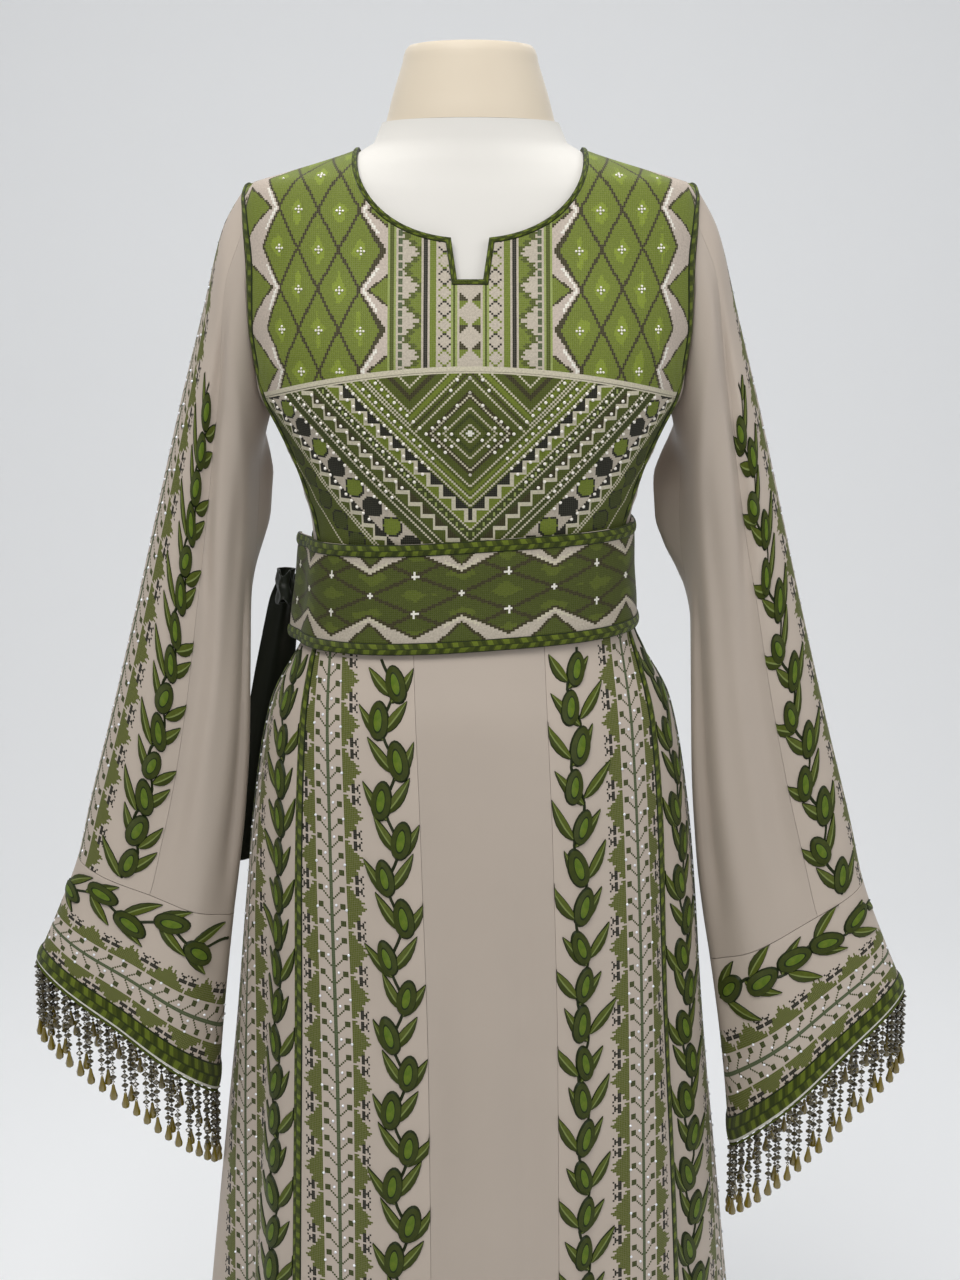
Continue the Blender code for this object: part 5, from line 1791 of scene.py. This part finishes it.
def simple(name, colour, roughness, sheen=0.0, coat=0.0, bump=None, specular=0.18):
    """One colour, with a bump of (noise scale, depth, strength) where given."""
    cloth = Cloth(name, colour, roughness, sheen, coat, specular)
    return cloth.finish(cloth.noise(bump[0]), *bump[1:]) if bump else cloth.finish()


def glass_bead(name, colour, roughness=0.12):
    return simple(name, colour, roughness, coat=0.5, specular=0.8)


def canvas():
    cloth = Cloth("form_canvas", (0.70, 0.68, 0.64), 0.85, sheen=0.1)
    return cloth.finish(waves(cloth.u, 0.0007) * waves(cloth.v, 0.0007), 0.0001, 0.4)


def all_materials():
    return {
        "plain": plain_cloth("crepe_satin", GREIGE),
        "lining": plain_cloth("cloth_inside", LINING),
        "gore": embroidered("gore_stitches", FEATHER_MID),
        "sleeve": embroidered("sleeve_stitches", -FEATHER_MID),
        "cuff": embroidered("cuff_stitches", FEATHER_MID, True),
        "yoke": yoke_cloth(),
        "chest": chest_cloth(),
        "belt": belt_cloth(),
        "satin": satin_stitch("piping_satin_stitch", PIPING),
        "braid": satin_stitch("braid_satin_stitch", BELT_TRIM),
        "hem_braid": satin_stitch("hem_satin_stitch", BELT_TRIM, BELT_TRIM),
        "tie": simple("tie_satin", (0.016, 0.019, 0.013), 0.42, sheen=0.05, bump=(60, 0.0004)),
        "bead": glass_bead("smoky_bead", (0.060, 0.050, 0.024)),
        "amber": glass_bead("amber_bead", (0.165, 0.120, 0.010)),
        "strip": simple("fringe_strip", OLIVE, 0.6),
        "canvas": canvas(),
        "cap": simple("form_cap", (0.66, 0.575, 0.455), 0.45, sheen=0.3, bump=(40, 0.0006, 0.3)),
        "metal": simple("painted_metal", (0.72, 0.71, 0.68), 0.35, coat=0.2),
        "leaf": thread_satin("leaf_satin", MOSS, OLIVE),
        "leaf_light": thread_satin("leaf_light_satin", (0.075, 0.092, 0.008), LEAF),
        "vein": simple("vein_thread", (0.17, 0.21, 0.06), 0.6),
        "olive": thread_satin("olive_satin", MOSS, OLIVE),
        "core": thread_satin("olive_core_satin", (0.075, 0.150, 0.008), LIME),
        "stem": simple("stem_thread", DARK, 0.5, bump=(500, 0.0003)),
        "crystal": glass_bead("crystal", (0.80, 0.82, 0.86), 0.06),
        "pearl": glass_bead("pearl", (0.82, 0.78, 0.70), 0.22),
    }


# ---------------------------------------------------------------- the whole scene


CAMERA_AT = (0.008, -1.62, 1.316)
CAMERA_DOWN = 10.8  # degrees below level
CAMERA_ANGLE = 2 * math.atan(640 / 1850)
# Lights: place, aim, size, power, colour.
LIGHTS = {
    "key": ((-0.5, -1.45, 3.35), (0, 0, 1.15), (1.8, 1.2), 54, (1.0, 0.99, 0.97)),
    "fill": ((2.2, -1.7, 2.4), (0, 0, 1.0), (1.6, 1.6), 18, (0.97, 0.98, 1.0)),
    "top": ((0, 0.9, 3.4), (0, 0.2, 1.1), (3.0, 1.8), 34, (1, 1, 1)),
}
SKY = (0.97, 0.98, 1.0)
SKY_POWER = 0.36
PAPER = (0.90, 0.91, 0.92)
PAPER_BACK = 2.0  # where the floor starts to curve up
PAPER_BEND = 1.2  # radius of the curve


def set_camera():
    data = bpy.data.cameras.new("camera")
    camera = linked("camera", data)
    camera.location = CAMERA_AT
    camera.rotation_euler = (math.radians(90 - CAMERA_DOWN), 0, 0)
    data.sensor_fit = "VERTICAL"
    data.angle = CAMERA_ANGLE
    data.clip_start = 0.05
    data.clip_end = 50
    data.dof.use_dof = False
    bpy.context.scene.camera = camera


def area_light(name, place, aim, size, power, colour):
    data = bpy.data.lights.new(name, "AREA")
    data.shape = "RECTANGLE"
    data.size, data.size_y = size
    data.energy = power
    data.color = colour
    light = linked(name, data)
    light.location = place
    way = np.array(aim, float) - np.array(place, float)
    flat = math.hypot(way[0], way[1])
    light.rotation_euler = (math.atan2(flat, -way[2]), 0, math.atan2(-way[0], way[1]))


def set_stage():
    """A pale floor that curves up into a backdrop, and soft light from the front, one side and above."""
    profile = [(-5.0, 0.0), (PAPER_BACK, 0.0)]
    for turn in np.linspace(0, math.pi / 2, 14)[1:]:
        profile.append((PAPER_BACK + PAPER_BEND * math.sin(turn), PAPER_BEND - PAPER_BEND * math.cos(turn)))
    profile.append((PAPER_BACK + PAPER_BEND, 9.0))
    points = [(x, y, z - 0.0002) for y, z in profile for x in (-7, 7)]
    faces = [(2 * i, 2 * i + 1, 2 * i + 3, 2 * i + 2) for i in range(len(profile) - 1)]
    paper = simple("studio_paper", PAPER, 0.9)
    add_mesh("studio_floor", points, faces, np.zeros((len(points), 2)), [paper])
    for name, light in LIGHTS.items():
        area_light(name, *light)
    world = bpy.data.worlds.new("studio")
    world.use_nodes = True
    back = world.node_tree.nodes["Background"]
    back.inputs[0].default_value = (*SKY, 1)
    back.inputs[1].default_value = SKY_POWER
    scene = bpy.context.scene
    scene.world = world
    scene.view_settings.view_transform = "Standard"
    scene.view_settings.look = "None"
    scene.view_settings.exposure = 0.0


SLOTS = {
    "bodice_yoke": "dense_stitch",
    "bodice_chest": "dense_stitch",
    "belt": "dense_stitch",
    "form_torso": "form_canvas",
    "form_neck_cap": "form_cap",
    "neck_binding": "satin_stitch",
    "bodice_back": "plain_cloth",
    "skirt_front_centre": "plain_cloth",
    "skirt_back_centre": "plain_cloth",
}


def slot_of(name):
    """The material slot that the record gives a piece's CAD node."""
    if name in SLOTS:
        return SLOTS[name]
    if any(word in name for word in ("piping", "trim", "braid")):
        return "satin_stitch"
    if "tie" in name:
        return "tie_satin"
    if "fringe" in name:
        return "bead"
    if name.startswith(("sleeve_band", "cuff", "skirt")):
        return "embroidered_cloth"
    return "plain_cloth"


# The flat size and area of each sheet by name, filled in as the shells are made.
CUTS = {}


def cut_of(points, uv):
    """Width, length and area of a grid of cloth laid flat."""
    first, second = points[1:, 1:] - points[:-1, :-1], points[1:, :-1] - points[:-1, 1:]
    area = np.linalg.norm(np.cross(first, second), axis=-1).sum() / 2
    width, length = np.ptp(uv[..., 0]), np.ptp(uv[..., 1])
    return float(width), float(length), float(min(max(area, 0.301 * width * length), width * length))


def strip_on(panel, kind, side):
    """How a vine's own coordinates fall on a panel, and where the vine starts and stops.

    Kind is "gore", "band", or 1 for the front and -1 for the back of a cuff.
    """
    if kind == "gore":
        middle = panel.points[:, panel.points.shape[1] // 4]
        angle = np.arctan2(middle[-6:-5, 0], -middle[-6:-5, 1])
        edge = belt_surface(0 * angle, angle)[0, 2] - 0.004
        stop = float(np.interp(edge, middle[:, 2], panel.v))
        return (lambda a, b, lift: panel.at(VINE_MID + a, b, lift)), 0.010, stop
    if kind == "band":
        reach = float(panel.v[-1])
        return (lambda a, b, lift: panel.at(a - VINE_MID, -b, lift)), -(reach - 0.006), -0.22 * reach
    reach = float(panel.u[0, -1])
    if side * kind < 0:
        return (lambda a, b, lift: panel.at(b, VINE_MID + a, lift)), 0.004, reach - 0.004
    return (lambda a, b, lift: panel.at(-b, VINE_MID + a, lift)), -(reach - 0.004), -0.004


def band_beads(panel, middle, upright):
    """Points and normals of the crystals on the cross-stitch band: by its arms and between its trees."""
    long = float(panel.v.max() - panel.v.min() if upright else panel.u.max()) / STITCH
    found = [(2.8 if k % 2 else -2.8, LINE_REPEAT * k + 7.0) for k in range(int(long / LINE_REPEAT))]
    for k in range(int(long / TREE_REPEAT)):
        found += [(off, TREE_REPEAT * k + 11.0) for off in (8.6, -8.6)]
    off, along = (np.array(found) * STITCH).T
    u, v = (middle + off, along) if upright else (along, middle + off)
    last = np.interp(v, panel.v, panel.u[:, -1])
    if upright:
        first = np.interp(v, panel.v, panel.u[:, 0])
        keep = (u > first + 0.003) & (v < panel.v.max() - 0.004) & (v > 0.004)
    else:
        keep = (u > 0.003) & (v < panel.v.max() - 0.012)
    keep &= u < last - 0.003
    u, v = u[keep], v[keep]
    points = panel.at(u, v)
    return points, unit(panel.at(u, v, 0.001) - points)


def yoke_beads():
    """Five-bead crosses at the middle of each diamond of the yoke."""
    u, v = [], []
    for row in range(-6, 5):
        for column in range(row % 2, 5, 2):
            m = LATTICE_FROM + column * LATTICE_X
            fall = row % 2
            border = m - LATTICE_FROM + LATTICE_EDGE * (1 - fall)
            outer = LATTICE_TO + LATTICE_X * (1 - fall) - m
            if min(border, outer) < 4:
                continue
            for p, q in ((0, 0), (1.5, 0), (-1.5, 0), (0, 1.5), (0, -1.5)):
                u += [-(m + p) * DENSE, (m + p) * DENSE]
                v += [LATTICE_V + (row * LATTICE_Y + q) * DENSE] * 2
    points, normals, ok = bodice_spots(u, v)
    x, z = np.abs(points[:, 0]), points[:, 2]
    ok &= z > chest_seam(x) + 0.006
    ok &= x < edge_x(z, PIPING + 0.004)
    across, down = x / (NECK_HALF + 0.008), np.maximum(NECK_Z - z, 0) / (NECK_SCOOP + 0.008)
    ok &= across**NECK_POWER + down**NECK_POWER > 1
    ok &= z < np.interp(x, RIDGE_X, RIDGE_Z) - 0.006
    return points[ok], normals[ok]


# Rows of pearls on the chest by their distance down from the middle diamond's corner, in stitches, and
# single pearls by (across, up).
PEARL_ROWS = (8.5, 14.5, 20.5, 29.5, 36.5, 42.5, 50.5, 59.5, 69.5, 78.5, 93.5)
PEARLS = [(0, 20.0), (0, -20.0), (6, 14), (12, 8), (6, 26), (12, 30), (18, 36), (0, 27), (9, 21)]


def chest_beads():
    """Pearls along the chest's bands."""
    spots = []
    for down in PEARL_ROWS:
        for up in range(3 * (1 + int(down) % 2), 3 * (1 + int(down) % 2) + 156, 6):
            if down > 20 or up <= 24:
                spots.append(((down + up) / 2, (up - down) / 2))
    spots += PEARLS
    u = [side * m * DENSE for m, n in spots for side in (-1, 1)]
    v = [CHEST_MID_V + n * DENSE for m, n in spots for side in (-1, 1)]
    points, normals, ok = bodice_spots(u, v)
    x, z = np.abs(points[:, 0]), points[:, 2]
    ok &= (z < chest_seam(x) - 0.004) & (z > 1.112) & (x < edge_x(z, PIPING + 0.004))
    return points[ok], normals[ok]


def skirt_piece(name, panel, m):
    if "piping" in name:
        z = panel.points[..., 2]
        rise = cord_rise(z.shape[1], under_belt(z, panel.points[..., 0], below=True))
        return panel.shell(name, CLOTH, rise, [m["satin"]])
    cloth = m["plain"] if "centre" in name else m["gore"]
    return panel.shell(name, CLOTH, 0.0, [cloth, m["lining"]])


def sewn_on(grids, m):
    """The vine and the crystals of each embroidered panel, and the pearls of the yoke and the chest."""
    chance = np.random.default_rng(11)
    extras = {}
    for name, panel in grids.items():
        side = -1 if name.endswith("left") else 1
        if name.startswith("cuff"):
            kind = 1 if "front" in name else -1
            found = band_beads(panel, FEATHER_MID, False)
        else:
            kind = "band" if name.startswith("sleeve") else "gore"
            found = band_beads(panel, -FEATHER_MID if kind == "band" else FEATHER_MID, True)
        extras[name] = [
            vine("vine_" + name, *strip_on(panel, kind, side), m, chance),
            beads("crystals_" + name, *found, 0.0013, m["crystal"]),
        ]
    extras["bodice_yoke"] = [beads("crosses_yoke", *yoke_beads(), 0.0011, m["pearl"])]
    extras["bodice_chest"] = [beads("pearls_chest", *chest_beads(), 0.0015, m["pearl"])]
    return extras


def main():
    set_camera()
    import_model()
    m = all_materials()
    panels = skirt_panels()
    pieces = {name: skirt_piece(name, panel, m) for name, panel in panels.items()}
    grids = {name: panel for name, panel in panels.items() if "piping" not in name and "centre" not in name}
    pieces.update(bodice_pieces(m))
    pieces.update(belt_pieces(m))
    for side, label in SIDES:
        made, panels = sleeve_pieces(side, label, m)
        pieces.update(made)
        grids.update(panels)
    pieces.update(form_pieces(m))
    extras = sewn_on(grids, m)
    for name, piece in pieces.items():
        piece.name = name + "_look"
        dress(piece, slot_of(name), name)
    for found in extras.values():
        for piece in found:
            dress(piece, "satin_stitch" if piece.name.startswith("vine") else "bead")
    declare_sheets(pieces, extras)
    for name in ("stand_base", "stand_post"):
        bpy.data.objects[name].data.materials.clear()
        bpy.data.objects[name].data.materials.append(m["metal"])
    set_stage()
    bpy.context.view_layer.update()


# How each kind of piece is held, what it lies on or hangs from, and what is sewn on it.
HELD = (
    ("bodice_yoke", "draped", ["form_torso"], ["neck_binding", "bodice_piping_left", "bodice_piping_right"]),
    ("bodice_chest", "draped", ["form_torso", "bodice_yoke"], []),
    ("bodice_back", "draped", ["form_torso"], []),
    ("bodice_side_left", "draped", ["form_torso"], []),
    ("bodice_side_right", "draped", ["form_torso"], []),
    ("skirt_front_centre", "hung", ["bodice_chest"], []),
    ("skirt_back_centre", "hung", ["bodice_back"], []),
    ("skirt_front_*", "hung", ["bodice_chest"], ["skirt_piping_front_*"]),
    ("skirt_side_front_*", "hung", ["bodice_chest"], ["skirt_piping_side_*"]),
    ("skirt_side_back_*", "hung", ["bodice_back"], ["skirt_piping_back_*"]),
    ("skirt_back_*", "hung", ["bodice_back"], []),
    ("sleeve_front_*", "hung", ["bodice_yoke"], []),
    ("sleeve_back_*", "hung", ["bodice_back"], []),
    ("sleeve_band_*", "hung", ["bodice_yoke", "bodice_back"], []),
    ("cuff_front_*", "hung", ["sleeve_front_*", "sleeve_band_*"], ["cuff_braid_*", "cuff_fringe_*"]),
    ("cuff_back_*", "hung", ["sleeve_back_*", "sleeve_band_*"], []),
    ("belt", "stretched", ["bodice_chest", "bodice_back"], ["belt_trim_bottom", "belt_trim_top"]),
    ("belt_tie_bow", "folded", ["belt"], []),
    ("belt_tie_tail", "hung", ["belt_tie_bow"], []),
)


def declare_sheets(pieces, extras):
    """Looks up each sheet's flat size and the pieces under it and sewn on it, and keeps none of them."""
    for name, held, under, sewn in HELD:
        for word in ("left", "right") if "*" in name else ("",):
            own = name.replace("*", word)
            width, length, area = CUTS[own]
            [pieces[other.replace("*", word)] for other in under]
            [pieces[other.replace("*", word)] for other in sewn] + extras.get(own, [])


main()
